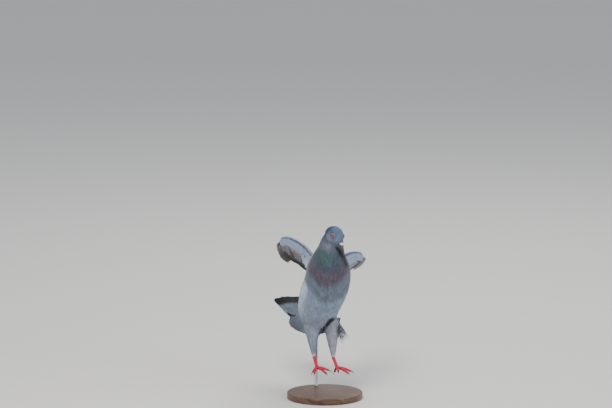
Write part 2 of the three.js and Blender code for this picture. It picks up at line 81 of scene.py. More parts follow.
def add_camera():
    data = bpy.data.cameras.new("camera")
    data.lens, data.sensor_width, data.clip_end = CAMERA_LENS, 36.0, 100.0
    camera = in_scene("camera", data)
    look_at(camera, CAMERA_AIM, CAMERA_AZIMUTH, CAMERA_ELEVATION, CAMERA_DISTANCE)
    bpy.context.scene.camera = camera


def add_stage():
    mesh, h = bpy.data.meshes.new("floor"), FLOOR_HALF
    mesh.from_pydata([(-h, -h, 0), (h, -h, 0), (h, h, 0), (-h, h, 0)], [], [(0, 1, 2, 3)])
    mesh.materials.append(Material("floor", Base_Color=FLOOR_COLOR, Roughness=0.9).data)
    in_scene("floor", mesh)
    world = bpy.data.worlds.new("studio")
    world.use_nodes = True
    sky = world.node_tree.nodes["Background"].inputs
    sky["Color"].default_value, sky["Strength"].default_value = SKY_COLOR, SKY_STRENGTH
    bpy.context.scene.world = world
    for name, (azimuth, elevation, distance, size, watts, color) in LAMPS.items():
        data = bpy.data.lights.new(name, "AREA")
        data.shape, data.size, data.energy, data.color = "DISK", size, watts, color
        look_at(in_scene(name, data), LIGHT_AIM, azimuth, elevation, distance)


# ---- the frame's shape, in millimetres

# Neck, trunk and rump: [x, y, z, half width, depth to the back, depth to the breast].
BODY = np.array([
    [4.5, -51, 277, 8, 7, 7],
    [4.5, -50, 269, 15.5, 14, 13],
    [5, -48, 259, 19.4, 17.5, 16.5],
    [4, -44, 247, 21.5, 20, 20],
    [2.6, -35, 230, 28.5, 25.5, 26.5],
    [3, -22, 210, 35.5, 31, 33.5],
    [2.4, -9, 189, 36.6, 33.5, 38.5],
    [-3.5, 3, 168, 35.8, 33.5, 39],
    [-8, 15, 147, 33.5, 31.5, 36],
    [-9.5, 29, 128, 31.5, 27.5, 30.5],
    [-12.5, 46, 114, 31.5, 21.5, 22],
    [-17.5, 66, 109.5, 32, 15, 15],
    [-20, 88, 111.5, 26, 8.5, 8.5],
    [-22.5, 106, 114, 17.5, 3.4, 3.6],
])
BODY_END = len(BODY) - 1
HEAD_AT = np.array([8.4, -57, 270.9])
HEAD_TURN, HEAD_DIP, HEAD_ROLL = 36, 37, -11
EYE_AT = (3.4, 10.6, 4.2)
BILL_BASE = 14.2
TAIL_FEATHERS, TAIL_LENGTH = 12, 113
TAIL_ROOT = np.array([-16.0, 72, 109])
TAIL_TURN, TAIL_RISE, TAIL_SPREAD, TAIL_ROLL = 4, 11, 10, 9
TAIL_ROOT_SPACING = 2.6
# Each wing's leading edge from shoulder to hand, its joints, and where its feathers aim: turn and drop.
WINGS = {
    "right": dict(
        side=-1, elbow=np.array([-17.0, 38, 220]), wrist=np.array([-57.0, 45, 247]),
        edge=np.array([[-18.0, -14, 226], [-32, 4, 244], [-49, 19, 254], [-60, 34, 254], [-65, 52, 245.5],
                       [-57.5, 92, 233]]),
        outer_aim=(12.0, 17.2), inner_aim=(19, 33), root_aim=(6, 50)),
    "left": dict(
        side=1, elbow=np.array([20.0, 41, 194]), wrist=np.array([60.0, 44, 218]),
        edge=np.array([[22.0, -12, 218], [33, 0, 230], [47, 14, 232], [60, 30, 227], [67.5, 50, 217],
                       [70, 92, 206]]),
        outer_aim=(2.2, 12.6), inner_aim=(-8, 24), root_aim=(-6, 50)),
}
WING_END, ELBOW_T = 5, 1.5  # places along a wing's leading edge: its end, and the one across from the elbow
PRIMARIES, SECONDARIES = 10, 11
LAST_QUILL = PRIMARIES + SECONDARIES - 1
OUTER_PRIMARY, INNER_PRIMARY, OUTER_SECONDARY, INNER_SECONDARY = 160, 98, 92, 74
COVERT_REACH, ROOT_CHORD = 34, 34
THIGHS = {"right": np.array([[-20.0, 16, 124], [-16.6, 5, 66]]),
          "left": np.array([[12.0, 16, 124], [14.2, 5, 64]])}


def unit(v):
    v = np.asarray(v, float)
    return v / np.maximum(np.linalg.norm(v, axis=-1, keepdims=True), 1e-9)


def mix(a, b, share):
    """The row a where share is 0 and the row b where it is 1."""
    share = np.clip(np.asarray(share, float), 0, 1)[..., None]
    return np.asarray(a) * (1 - share) + np.asarray(b) * share


def ease(x, low, high):
    """0 below low and 1 above high, smooth between them."""
    f = np.clip((np.asarray(x, float) - low) / (high - low), 0, 1)
    return f * f * (3 - 2 * f)


def row_at(rows, t):
    """The row at place t of a smooth curve through rows of numbers."""
    t = np.asarray(t, float)
    last = len(rows) - 1
    i = np.clip(np.floor(t).astype(int), 0, last - 1)
    f = (t - i)[..., None]
    a, b, c, d = (rows[np.clip(i + k, 0, last)] for k in (-1, 0, 1, 2))
    slope, next_slope, rise = (c - a) / 2, (d - b) / 2, c - b
    return b + f * (slope + f * (3 * rise - 2 * slope - next_slope + f * (slope + next_slope - 2 * rise)))


def ahead_of(rows, t, reach):
    """From a little before place t to a little after it."""
    return row_at(rows, np.minimum(t + reach, len(rows) - 1)) - row_at(rows, np.maximum(t - reach, 0))


def dots(a, b):
    return np.einsum("ij,ij->i", a, b)


def backward(turn, drop):
    """A direction from a turn away from straight back towards +X and a drop below level."""
    turn, drop = np.radians(turn), np.radians(drop)
    return np.stack([np.sin(turn) * np.cos(drop), np.cos(turn) * np.cos(drop), -np.sin(drop) + 0 * turn], -1)


def body_frame(t):
    """Row of BODY, line, left and back directions of the body at place t along it."""
    line = unit(ahead_of(BODY, t, 0.05)[..., :3])
    to_back = unit(-np.cross(line, [1.0, 0, 0]))
    to_left = unit(np.cross(line, to_back))
    return row_at(BODY, t), line, np.where(to_left[..., :1] < 0, -to_left, to_left), to_back


def head_axes():
    turn, dip, roll = (math.radians(a) for a in (HEAD_TURN, HEAD_DIP, HEAD_ROLL))
    forward = np.array([math.sin(turn) * math.cos(dip), -math.cos(turn) * math.cos(dip), -math.sin(dip)])
    left = np.array([math.cos(turn), math.sin(turn), 0.0])
    left = np.array(Matrix.Rotation(roll, 3, Vector(forward)) @ Vector(left))
    return forward, left, np.cross(forward, left)


HEAD_FORWARD, HEAD_LEFT, HEAD_UP = head_axes()


def on_head(forward, left, up):
    """A place given along the head's own axes."""
    return HEAD_AT + forward * HEAD_FORWARD + left * HEAD_LEFT + up * HEAD_UP


def flight_aim(wing, u):
    """Direction of a flight feather: u is 0 at the hand's tip, 0.5 at the wrist and 1 at the elbow."""
    (turn, drop), (inner_turn, inner_drop) = wing["outer_aim"], wing["inner_aim"]
    share = u * u * (3 - 2 * u)
    return backward(turn + (inner_turn - turn) * share, drop + (inner_drop - drop) * share)


def flight_root(wing, u):
    """Where that feather is rooted on the hand or the forearm."""
    u = np.asarray(u, float)
    hand, wrist, elbow = wing["edge"][WING_END], wing["wrist"], wing["elbow"]
    return np.where((u < 0.5)[..., None], mix(hand, wrist, u / 0.5), mix(wrist, elbow, (u - 0.5) / 0.5))


def wing_up(wing):
    """The wing's upper face: square to its feathers and to the line from elbow to wrist."""
    up = unit(np.cross((wing["wrist"] - wing["elbow"]) * wing["side"], flight_aim(wing, np.array(0.4))))
    return -up if up[2] < 0 else up


def quill_at(t):
    """The flight feather, as u, behind place t along a wing's leading edge."""
    return np.clip((WING_END - t) / (WING_END - ELBOW_T), 0, 1)


def wing_section(wing, t):
    """Leading edge, rear edge of the arm and upward face at place t along the leading edge."""
    front, u = row_at(wing["edge"], t), quill_at(t)
    end = flight_root(wing, u) + flight_aim(wing, u) * COVERT_REACH
    shoulder = wing["edge"][0] + backward(*wing["root_aim"]) * ROOT_CHORD
    rear = np.where((t >= ELBOW_T)[..., None], end, mix(shoulder, end, t / ELBOW_T))
    face = unit(np.cross(ahead_of(wing["edge"], t, 0.1), rear - front)) * wing["side"]
    face = unit(mix(face, wing_up(wing), ease(t, 2.8, 4.0)))
    return front, rear, face


# ---- markings, with painted shadow, shade and highlight


def srgb(*values):
    """Linear colour from the usual 0-255 values."""
    c = np.array(values, float) / 255
    return np.where(c <= 0.04045, c / 12.92, ((c + 0.055) / 1.055) ** 2.4)


CROWN, CHEEK, NAPE = srgb(72, 90, 119), srgb(104, 115, 133), srgb(45, 55, 74)
GREEN, PURPLE, LILAC = srgb(76, 104, 104), srgb(90, 84, 98), srgb(128, 120, 150)
NECK_TOP, NECK_SLATE, SLATE_BREAST = srgb(98, 106, 120), srgb(74, 86, 100), srgb(102, 112, 128)
PALE_BELLY, LOW_BELLY, MANTLE = srgb(127, 142, 162), srgb(138, 151, 168), srgb(138, 148, 160)
RUMP_WHITE, RUMP_GREY, FLANK_WHITE = srgb(206, 210, 214), srgb(78, 89, 105), srgb(190, 204, 220)
# Near black: a painted shadow of the bill on the neck, and painted shade in the vent between the thighs.
BILL_SHADOW, VENT_SHADE = srgb(10, 12, 17), srgb(8, 9, 12)
# The two thighs differ only by painted light: the left one's grey is painted lighter and warmer.
THIGH_COLORS_LEFT_LIT, ANKLE = {"right": srgb(128, 141, 158), "left": srgb(146, 151, 162)}, srgb(214, 208, 206)
WING_TOP, WING_BAR, WING_LINING = srgb(150, 159, 170), srgb(52, 55, 62), srgb(166, 187, 216)
GREATER_LINING, AXILLARY, RIM = srgb(172, 163, 155), srgb(188, 196, 209), srgb(72, 90, 122)
FLIGHT_UPPER, FLIGHT_UPPER_TIP, FLIGHT_LIT = srgb(104, 107, 115), srgb(56, 56, 62), srgb(150, 152, 157)
FLIGHT, FLIGHT_TIP, FLIGHT_BASE = srgb(84, 68, 56), srgb(24, 20, 20), srgb(132, 116, 102)
TAIL_GREY, TAIL_BAND, TAIL_EDGE = srgb(100, 110, 124), srgb(8, 11, 17), srgb(116, 124, 136)

# Colours down the breast and down the back, each with its place along BODY.
BREAST_STOPS = [
    (0.4, NAPE), (1.7, NECK_TOP), (2.4, NECK_TOP), (2.9, NECK_SLATE), (3.7, NECK_SLATE), (4.15, PURPLE),
    (4.5, PURPLE), (5.0, SLATE_BREAST), (5.85, SLATE_BREAST), (6.15, PALE_BELLY), (8.4, LOW_BELLY),
    (9.3, LOW_BELLY), (10.3, RUMP_GREY), (13, RUMP_GREY),
]
BACK_STOPS = [
    (0.4, NAPE), (2.1, NECK_TOP), (2.5, NECK_TOP), (3.3, GREEN), (3.7, GREEN), (4.3, PURPLE), (5.2, MANTLE),
    (9.0, MANTLE), (10.6, RUMP_GREY), (13, RUMP_GREY),
]
# Where markings, and the painted lilac highlight, lie along BODY: start, full, fading and gone.
PALE_RUMP, GREEN_THROAT, LILAC_HIGHLIGHT_BAND = (8.4, 9.2, 10.6, 11.4), (2.3, 3.0, 3.2, 3.9), (1.5, 1.9, 2.1, 2.5)
WHITE_FLANK, GLOSSY_NECK = (5.6, 6.5, 7.6, 8.6), (1.6, 2.6, 5.0, 5.8)
# [x, z] of the painted shadow that the bill casts on the neck below it, and of the painted shade in the vent
# between the thighs.
NECK_BILL_SHADOW = [(11.5, 253), (20, 240), (25.5, 230), (28.5, 222)]
VENT_SHADE_LINE = [(-3, 97), (1, 110), (9, 126)]


def stops(t, pairs):
    """Colour along t through (place, colour) pairs, smooth between them."""
    color = pairs[0][1]
    for (low, _), (high, after) in zip(pairs, pairs[1:]):
        color = mix(color, after, ease(t, low, high))
    return color


def band(x, rise, full, fade, gone):
    """1 from full to fade, and 0 before rise and past gone."""
    return ease(x, rise, full) * (1 - ease(x, fade, gone))


def body_markings(t, side, front):
    """Colour and gloss on neck, trunk and rump, with a painted highlight and painted shade: side is -1 right to
    1 left, front -1 back to 1 breast.
    """
    # The breast's bands reach lowest near its middle.
    edge = t - np.interp(t, [3.5, 5.5], [0.15, 0.6]) * (1 - np.abs(side + 0.22)) * np.clip(front, 0, 1)
    pale = band(t, *PALE_RUMP) * (1 - ease(np.abs(side), 0.3, 0.6))
    back = mix(stops(t, BACK_STOPS), RUMP_WHITE, pale)
    green = band(edge, *GREEN_THROAT) * (1 - ease(np.abs(side + 0.4), 0.2, 0.8))
    color = mix(mix(stops(edge, BREAST_STOPS), GREEN, 0.75 * green), back, ease(-front, -0.15, 0.4))
    # Painted highlight: a lilac patch at the front of the throat.
    lilac_highlight = band(t, *LILAC_HIGHLIGHT_BAND) * ease(front, 0.3, 0.8) * (1 - ease(np.abs(side + 0.25), 0.1, 0.45))
    color = mix(color, LILAC, 0.7 * lilac_highlight)
    flank = band(t, *WHITE_FLANK) * ease(-side, 0.78, 0.95) * ease(front, -0.4, 0)
    color = mix(color, FLANK_WHITE, 0.85 * flank)
    # Painted shade: the lower right side of the rump is darkened towards the rump's grey, where it faces down.
    shaded_low_side = ease(t, 8.0, 9.2) * ease(-side, 0.45, 0.8)
    return mix(color, RUMP_GREY, 0.8 * shaded_low_side * ease(front, -0.5, 0)), band(t, *GLOSSY_NECK)


def near_line(places, line, low, high):
    """1 within low of a line through points, seen along Y, and 0 beyond high."""
    near = np.full(len(places), np.inf)
    flat = places[:, [0, 2]]
    for a, b in zip(line, line[1:]):
        a, way = np.array(a, float), np.array(b, float) - a
        f = np.clip((flat - a) @ way / (way @ way), 0, 1)
        near = np.minimum(near, np.linalg.norm(flat - a - f[:, None] * way, axis=1))
    return 1 - ease(near, low, high)


def head_markings(forward, up):
    """Colour and gloss on the head, from places along its own axes."""
    color = mix(CHEEK, CROWN, ease(up, -2, 7) * (1 - 0.5 * ease(forward, 2, 10)))
    color = mix(color, NAPE, ease(-forward, 1, 11))
    return mix(color, CHEEK, ease(-up, 6, 12) * 0.6), 0.25 * ease(-forward, 2, 14)


def wing_markings(t, share, upper):
    """Colour on the wing's coverts: share is 0 at the leading edge and 1 where the coverts' skin ends."""
    top = mix(WING_TOP, WING_BAR, ease(share, 0.93, 1.0) * ease(t, 0.3, 0.8) * (1 - ease(t, 3.2, 3.7)))
    top = mix(top, FLIGHT_UPPER, ease(t, 3.4, 4.2) * ease(share, 0.3, 0.8))
    top = mix(top, RIM, 0.6 * (1 - ease(share, 0.0, 0.06)))
    under = mix(WING_LINING, GREATER_LINING, ease(share, 0.62, 0.86))
    under = mix(under, FLIGHT, 0.8 * ease(t, 2.8, 4.0) * ease(share, 0.55, 0.8))
    under = mix(under, AXILLARY, (1 - ease(t, 0.6, 1.7)) * ease(share, 0.3, 0.6))
    under = mix(under, RIM, 1 - ease(share, 0.015, 0.065))
    return np.where(np.asarray(upper)[..., None], top, under)


# ---- places on the bird


def nearest_t(places):
    """Place along BODY that each point lies beside."""
    steps = np.linspace(0, BODY_END, 131)
    centres, line, _, _ = body_frame(steps)
    best, at = np.full(len(places), np.inf), np.zeros(len(places))
    for t, centre, way in zip(steps, centres, line):
        gap = places - centre[:3]
        off = np.abs(gap @ way) * 2 + np.maximum(np.linalg.norm(gap, axis=1) - centre[3], 0) * 0.5
        closer = off < best
        best[closer], at[closer] = off[closer], t
    return at


def round_body(places):
    """Place along BODY, the row there, and how far each point is to the left and to the front of it."""
    t = nearest_t(places)
    row, _, to_left, to_back = body_frame(t)
    gap = places - row[:, :3]
    return t, row, dots(gap, to_left), -dots(gap, to_back)


def on_wing(wing, places, normals):
    """Place along the leading edge and share of the chord that each point lies beside, and if it faces up."""
    steps = np.linspace(0, WING_END, 101)
    front, rear, _ = wing_section(wing, steps)
    best, t, share = np.full(len(places), np.inf), np.zeros(len(places)), np.zeros(len(places))
    for step, a, chord in zip(steps, front, rear - front):
        f = (places - a) @ chord / (chord @ chord)
        off = np.linalg.norm(places - a - np.clip(f, 0, 1)[:, None] * chord, axis=1)
        closer = off < best
        best[closer], t[closer], share[closer] = off[closer], step, f[closer]
    return t, share, dots(wing_section(wing, t)[2], normals) > 0


def down_thigh(places, side):
    """How far down the thigh each point is: 0 at the hip and 1 at the ankle."""
    hip, ankle = THIGHS[side]
    return (places - hip) @ (ankle - hip) / ((ankle - hip) @ (ankle - hip))


def by_region(places, region):
    """Each region that has any of the places: its name, its side, which places are its own, and those."""
    for k, name in enumerate(FLESH):
        here = region == k
        if here.any():
            yield name, name.partition("_")[2], here, places[here]


def markings(places, region, normals):
    """Colour and gloss at each place on the skin, with painted shadow and shade on the body."""
    color, gloss = np.zeros((len(places), 3)), np.zeros(len(places))
    for name, side, here, p in by_region(places, region):
        if name == "head":
            gap = p - HEAD_AT
            color[here], gloss[here] = head_markings(gap @ HEAD_FORWARD, gap @ HEAD_UP)
        elif name == "body":
            t, row, left, front = round_body(p)
            front = front / np.maximum(row[:, 4], 1)
            shade, gloss[here] = body_markings(t, left / row[:, 3], front)
            # Painted shadow: the bill's cast shadow on the neck below it, in near black.
            shade = mix(shade, BILL_SHADOW, near_line(p, NECK_BILL_SHADOW, 1.8, 4.2) * ease(front, 0.1, 0.4))
            # Painted shade: the vent between the thighs is darkened to near black, where shade falls.
            vent_shade = near_line(p, VENT_SHADE_LINE, 4.5, 8) * (1 - ease(p[:, 1], 30, 45)) * ease(t, 7.3, 8.0)
            color[here] = mix(shade, VENT_SHADE, vent_shade)
        elif name.startswith("thigh"):
            color[here] = mix(THIGH_COLORS_LEFT_LIT[side], ANKLE, ease(down_thigh(p, side), 0.9, 0.98))
        else:
            color[here] = wing_markings(*on_wing(WINGS[side], p, normals[here]))
    return color, gloss


def lie_field(places, region, normals):
    """The way the coat lies, before it is laid along the skin."""
    lie = np.zeros((len(places), 3))
    for name, side, here, p in by_region(places, region):
        if name == "head":
            lie[here] = unit(p - on_head(BILL_BASE + 8, 0, -1)) - 0.25 * HEAD_FORWARD
        elif name == "body":
            lie[here] = body_frame(nearest_t(p))[1]
        elif name.startswith("thigh"):
            lie[here] = unit(THIGHS[side][1] - THIGHS[side][0])
        else:
            front, rear, _ = wing_section(WINGS[side], on_wing(WINGS[side], p, normals[here])[0])
            lie[here] = unit(rear - front)
    return lie


# Boxes on the unwrap of the skin: u and v from, u and v to.
UNWRAP = {
    "head": (0.01, 0.01, 0.28, 0.28), "body": (0.01, 0.32, 0.64, 0.98), "wisps": (0.3, 0.2, 0.32, 0.28),
    "thigh_right": (0.32, 0.01, 0.48, 0.28), "thigh_left": (0.5, 0.01, 0.66, 0.28),
    "wing_right": (0.68, 0.01, 0.99, 0.48), "wing_left": (0.68, 0.51, 0.99, 0.98),
    "axillaries_right": (0.68, 0.01, 0.773, 0.13), "axillaries_left": (0.68, 0.51, 0.773, 0.63),
    "quills_right": (0.32, 0.293, 0.62, 0.293), "quills_left": (0.32, 0.301, 0.62, 0.301),
    "tail_feathers": (0.1, 0.99, 0.5, 0.99), "tail_coverts": (0.05, 0.94, 0.55, 0.97),
}


def in_box(name, u, v):
    """Places on the unwrap from shares of a box's width and height."""
    x0, y0, x1, y1 = UNWRAP[name]
    return np.stack([x0 + (x1 - x0) * u, y0 + (y1 - y0) * v], -1)


def chart_of(skin, picked):
    """A place on the unwrap for each picked vertex of the skin: round its region and along it."""
    chart = np.zeros((len(picked), 2))
    for name, side, here, p in by_region(skin.places[picked], skin.region[picked]):
        if name == "head":
            gap = p - HEAD_AT
            turn, along = np.arctan2(gap @ HEAD_LEFT, gap @ HEAD_UP), (gap @ HEAD_FORWARD + 20) / 40
        elif name == "body":
            t, _, left, front = round_body(p)
            turn, along = np.arctan2(left, front), t / BODY_END
        else:
            gap = p - THIGHS[side][0]
            turn, along = np.arctan2(gap[:, 0], gap[:, 1] + 0.19 * gap[:, 2]), down_thigh(p, side)
        chart[here] = in_box(name, np.clip(turn / (2 * math.pi) + 0.5, 0, 1), np.clip(along, 0, 1))
    return chart


# ---- skin

FLESH = {
    "head": ["head", "eye_left", "eye_right"], "body": ["neck", "trunk", "rump"],
    "thigh_right": ["thigh_right"], "thigh_left": ["thigh_left"],
    "wing_right": ["wing_arm_right", "wing_hand_right"], "wing_left": ["wing_arm_left", "wing_hand_left"],
}
COAT_DEPTH = {"head": 0.8, "body": 2.3, "thigh_right": 1.5, "thigh_left": 1.5, "wing_right": 0.25,
              "wing_left": 0.25}
HEAD, TORSO, THIGH_RIGHT, THIGH_LEFT = range(4)  # the regions under small feathers, in FLESH's order
SKIN_VOXEL = 1.15


def read(items, key, width, kind=float):
    """One row of numbers for each of a mesh's items."""
    values = np.empty(len(items) * width, kind)
    items.foreach_get(key, values)
    return values.reshape(-1, width)


def vertices_of(mesh):
    return read(mesh.vertices, "co", 3) / MM


def normals_of(mesh):
    return read(mesh.vertices, "normal", 3)


def edges_of(mesh):
    return read(mesh.edges, "vertices", 2, int)


def smooth_object(name, mesh):
    mesh.polygons.foreach_set("use_smooth", np.ones(len(mesh.polygons), bool))
    return in_scene(name, mesh)


def mesh_object(name, vertices, faces):
    """A smooth object from vertices in millimetres and a list of faces."""
    mesh = bpy.data.meshes.new(name)
    mesh.from_pydata([tuple(v) for v in np.asarray(vertices, float) * MM], [], faces)
    return smooth_object(name, mesh)


def joined(nodes):
    """Vertices in millimetres and triangles of several CAD nodes, and each triangle's place in nodes."""
    places, triangles, owner, offset = [], [], [], 0
    for k, node in enumerate(nodes):
        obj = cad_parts[node]
        obj.data.calc_loop_triangles()
        matrix = np.array(obj.matrix_world)
        v = read(obj.data.vertices, "co", 3) @ matrix[:3, :3].T + matrix[:3, 3]
        f = read(obj.data.loop_triangles, "vertices", 3, int)
        places.append(v / MM)
        triangles.append(f + offset)
        owner += [k] * len(f)
        offset += len(v)
    return np.concatenate(places), np.concatenate(triangles), np.array(owner)


def remeshed(name, nodes, voxel, smoothing, swell=0.0):
    """One smooth closed object round several CAD nodes, swollen by what smoothing takes off."""
    places, triangles, _ = joined(nodes)
    rough = mesh_object(name + "_rough", places, triangles.tolist())
    remesh = rough.modifiers.new("remesh", "REMESH")
    remesh.mode, remesh.voxel_size = "VOXEL", voxel * MM
    smooth = rough.modifiers.new("smooth", "SMOOTH")
    smooth.factor, smooth.iterations = 0.5, smoothing
    mesh = bpy.data.meshes.new_from_object(rough.evaluated_get(bpy.context.evaluated_depsgraph_get()))
    old = rough.data
    bpy.data.objects.remove(rough)
    bpy.data.meshes.remove(old)
    mesh.name = name
    if swell:
        mesh.vertices.foreach_set("co", ((vertices_of(mesh) + swell * normals_of(mesh)) * MM).ravel())
    return smooth_object(name, mesh)


def spread(values, edges, rounds):
    """Values averaged with their neighbours along the edges, again and again."""
    values = np.array(values, float)
    flat = values.reshape(len(values), -1)
    count = np.bincount(edges.ravel(), minlength=len(flat))[:, None] + 1
    for _ in range(rounds):
        total = flat.copy()
        for k in range(flat.shape[1]):
            for a, b in (edges.T, edges.T[::-1]):
                total[:, k] += np.bincount(a, flat[b, k], len(flat))
        flat = total / count
    return flat.reshape(values.shape)


def set_color(mesh, name, values):
    """A colour per vertex, from rows of three or single numbers."""
    values = np.asarray(values, float)
    if values.ndim == 1:
        values = np.repeat(values[:, None], 3, 1)
    data = mesh.color_attributes.new(name, "FLOAT_COLOR", "POINT")
    data.data.foreach_set("color", np.hstack([values, np.ones((len(values), 1))]).ravel())


class Skin:
    """The one skin, drawn in from the frame by the coat's depth, with what the coat needs of it."""

    def __init__(self):
        nodes = [node for group in FLESH.values() for node in group]
        self.replaced = [node for node in nodes if not node.startswith("eye")]
        self.object = remeshed("skin", nodes, SKIN_VOXEL, 4)
        mesh = self.object.data
        places, normals, edges = vertices_of(mesh), normals_of(mesh), edges_of(mesh)
        outer, triangles, owner = joined(nodes)
        tree = BVHTree.FromPolygons(outer.tolist(), triangles.tolist())
        group = np.array([k for k, names in enumerate(FLESH.values()) for _ in names])
        found = [tree.find_nearest(Vector(p))[2] for p in places]
        self.region = group[owner[np.array(found)]]
        self.depth = spread(np.array(list(COAT_DEPTH.values()))[self.region], edges, 24)
        places = places - normals * self.depth[:, None]
        places = 0.5 * places + 0.5 * spread(places, edges, 1)
        mesh.vertices.foreach_set("co", (places * MM).ravel())
        mesh.update()
        self.places, self.normals = places, unit(spread(normals_of(mesh), edges, 3))
        lie = spread(unit(lie_field(places, self.region, self.normals)), edges, 12)
        self.lie = unit(lie - self.normals * dots(lie, self.normals)[:, None])
        self.color, self.gloss = (spread(v, edges, 5) for v in markings(places, self.region, self.normals))
        set_color(mesh, "plumage", self.color * 0.8)
        set_color(mesh, "gloss", self.gloss)
        mesh.calc_loop_triangles()
        faces = read(mesh.loop_triangles, "vertices", 3, int)
        self.face_corner = faces[:, 0]
        self.tree = BVHTree.FromPolygons(places.tolist(), faces.tolist())
        self.points = KDTree(len(places))
        for i, p in enumerate(places):
            self.points.insert(p, i)
        self.points.balance()

    def sow(self, allowed, distance, rng):
        """Skin vertices picked at random so that no two are nearer than distance."""
        free, picked = np.array(allowed), []
        for i in rng.permutation(np.flatnonzero(free)):
            if free[i]:
                picked.append(i)
                for _, j, _ in self.points.find_range(Vector(self.places[i]), float(distance[i])):
                    free[j] = False
        return np.array(picked, int)

    def march(self, starts, aims, lengths, shares):
        """Paths along the skin: place, normal and nearest vertex at every share of each length."""
        rows = len(shares)
        places, normals = np.zeros((len(starts), rows, 3)), np.zeros((len(starts), rows, 3))
        corners = np.zeros((len(starts), rows), int)
        steps = np.append(np.diff(shares), 0)
        for n, (start, aim, length) in enumerate(zip(starts, aims, lengths)):
            p, way = Vector(start), Vector(aim)
            for r, step in enumerate(steps):
                spot, _, face, _ = self.tree.find_nearest(p)
                corner = self.face_corner[face]
                normal = Vector(self.normals[corner])
                places[n, r], normals[n, r], corners[n, r] = spot, normal, corner
                way = way + 0.18 * Vector(self.lie[corner])
                way -= normal * way.dot(normal)
                way.normalize()
                p = spot + way * (step * length)
        return places, normals, corners


# ---- feathers

PATCH = 0.003  # side of each feather's patch on the unwrap
VANE_STOPS = np.array([-1.0, 0, 1])  # places across a small feather's section
VANE_CAMBER, VANE_KEEL = 0.1, 0.1


def section(across):
    """Places round a thin section: across its top and back below, and which of them are below."""
    below = np.concatenate([np.zeros(len(across)), np.ones(len(across) - 2)])
    return np.concatenate([across, across[-2:0:-1]]), below


def walls(rings):
    """The four corners between neighbouring points of each ring and the next ring."""
    a, b = rings[:, :-1], rings[:, 1:]
    return np.stack([a, np.roll(a, -1, 2), np.roll(b, -1, 2), b], 3)


def keep_edges_crisp(mesh, rows, size):
    """The rim of every vane shades as an edge, so that it looks thin and not like a pillow."""
    ends = edges_of(mesh)
    point, row = ends % size, ends // size % rows
    side = (point[:, 0] == point[:, 1]) & ((point[:, 0] == 0) | (point[:, 0] == size // 2))
    tip = (row[:, 0] == row[:, 1]) & ((row[:, 0] == 0) | (row[:, 0] == rows - 1))
    mesh.edges.foreach_set("use_edge_sharp", side | tip)


def shade_as_surface(mesh, facing, top):
    """Each vane takes the light as the surface it lies on does: its top faces out, its underside in."""
    outward = np.where(np.arange(facing.shape[2]) < top - 1, 1.0, -1.0)[:, None, None]
    corners = walls(facing) * outward, facing[:, 0], facing[:, -1]
    mesh.normals_split_custom_set(np.concatenate([part.reshape(-1, 3) for part in corners]))


def feather_object(name, rings, color, gloss, chart, across, along):
    """Closed thin sheets from rings (feather, row, point of the section), with their colours and maps."""
    shape = rings.shape[:3]
    rows, size = shape[1:]
    index = np.arange(math.prod(shape)).reshape(shape)
    quads, caps = walls(index).reshape(-1, 4), np.concatenate([index[:, 0, ::-1], index[:, -1]])
    loops = np.concatenate([quads.ravel(), caps.ravel()])
    starts = np.concatenate([np.arange(len(quads)) * 4, len(quads) * 4 + np.arange(len(caps)) * size])
    mesh = bpy.data.meshes.new(name)
    mesh.vertices.add(index.size)
    mesh.vertices.foreach_set("co", (rings * MM).ravel())
    mesh.loops.add(len(loops))
    mesh.loops.foreach_set("vertex_index", loops)
    mesh.polygons.add(len(starts))
    mesh.polygons.foreach_set("loop_start", starts)
    mesh.update(calc_edges=True)
    keep_edges_crisp(mesh, rows, size)
    set_color(mesh, "plumage", np.broadcast_to(color, rings.shape).reshape(-1, 3))
    set_color(mesh, "gloss", np.broadcast_to(gloss, shape).ravel())
    root = np.broadcast_to(chart[:, None, None], shape + (2,)).reshape(-1, 2)
    down = np.linspace(-1, 1, rows)[:, None]
    for layer, length, corner, scale in (("Vane", along, 0, 1), ("OFBake", down, root, PATCH / 2)):
        uv = corner + scale * np.stack([np.broadcast_to(x, shape).ravel() for x in (across, length)], -1)
        mesh.uv_layers.new(name=layer).data.foreach_set("uv", uv[loops].ravel())
    return smooth_object(name, mesh)


def vanes(name, paths, normals, width, color, chart, lift=np.zeros((1, 1)), gloss=0.0, along=None, thick=0.14,
          lies_on_skin=True):
    """One thin vane on each path: width per row, lift above the path, cambered over a raised middle."""
    along = np.linspace(0, 1, paths.shape[1]) if along is None else along
    way = unit(np.gradient(paths, axis=1))
    across = unit(np.cross(way, normals))
    up = unit(np.cross(across, way))
    ring, below = section(VANE_STOPS)
    half = width / 2
    height = VANE_KEEL * (1 - np.abs(ring)) - VANE_CAMBER * ring ** 2
    rings = (paths + up * lift[..., None])[:, :, None]
    rings = rings + across[:, :, None] * (half[..., None, None] * ring[:, None])
    rise = height * np.minimum(half, 3)[..., None] - thick * below * (1 - np.abs(ring))
    rings = rings + up[:, :, None] * rise[..., None]
    obj = feather_object(name, rings, color, gloss, chart, ring, along[:, None])
    if lies_on_skin:
        facing = normals[:, :, None] + 0.22 * across[:, :, None] * ring[:, None] + 0.12 * way[:, :, None]
        shade_as_surface(obj.data, unit(facing), len(VANE_STOPS))
    return obj


def outline(f, blunt=0.55):
    """Width of a contour feather along its length: narrow root, widest past the middle, round tip."""
    tip = (np.clip(f - blunt, 0, 1) / (1.02 - blunt)) ** 2.2
    return np.clip(0.3 + 1.3 * f, 0, 1) * np.sqrt(np.clip(1 - tip, 0.012, 1))


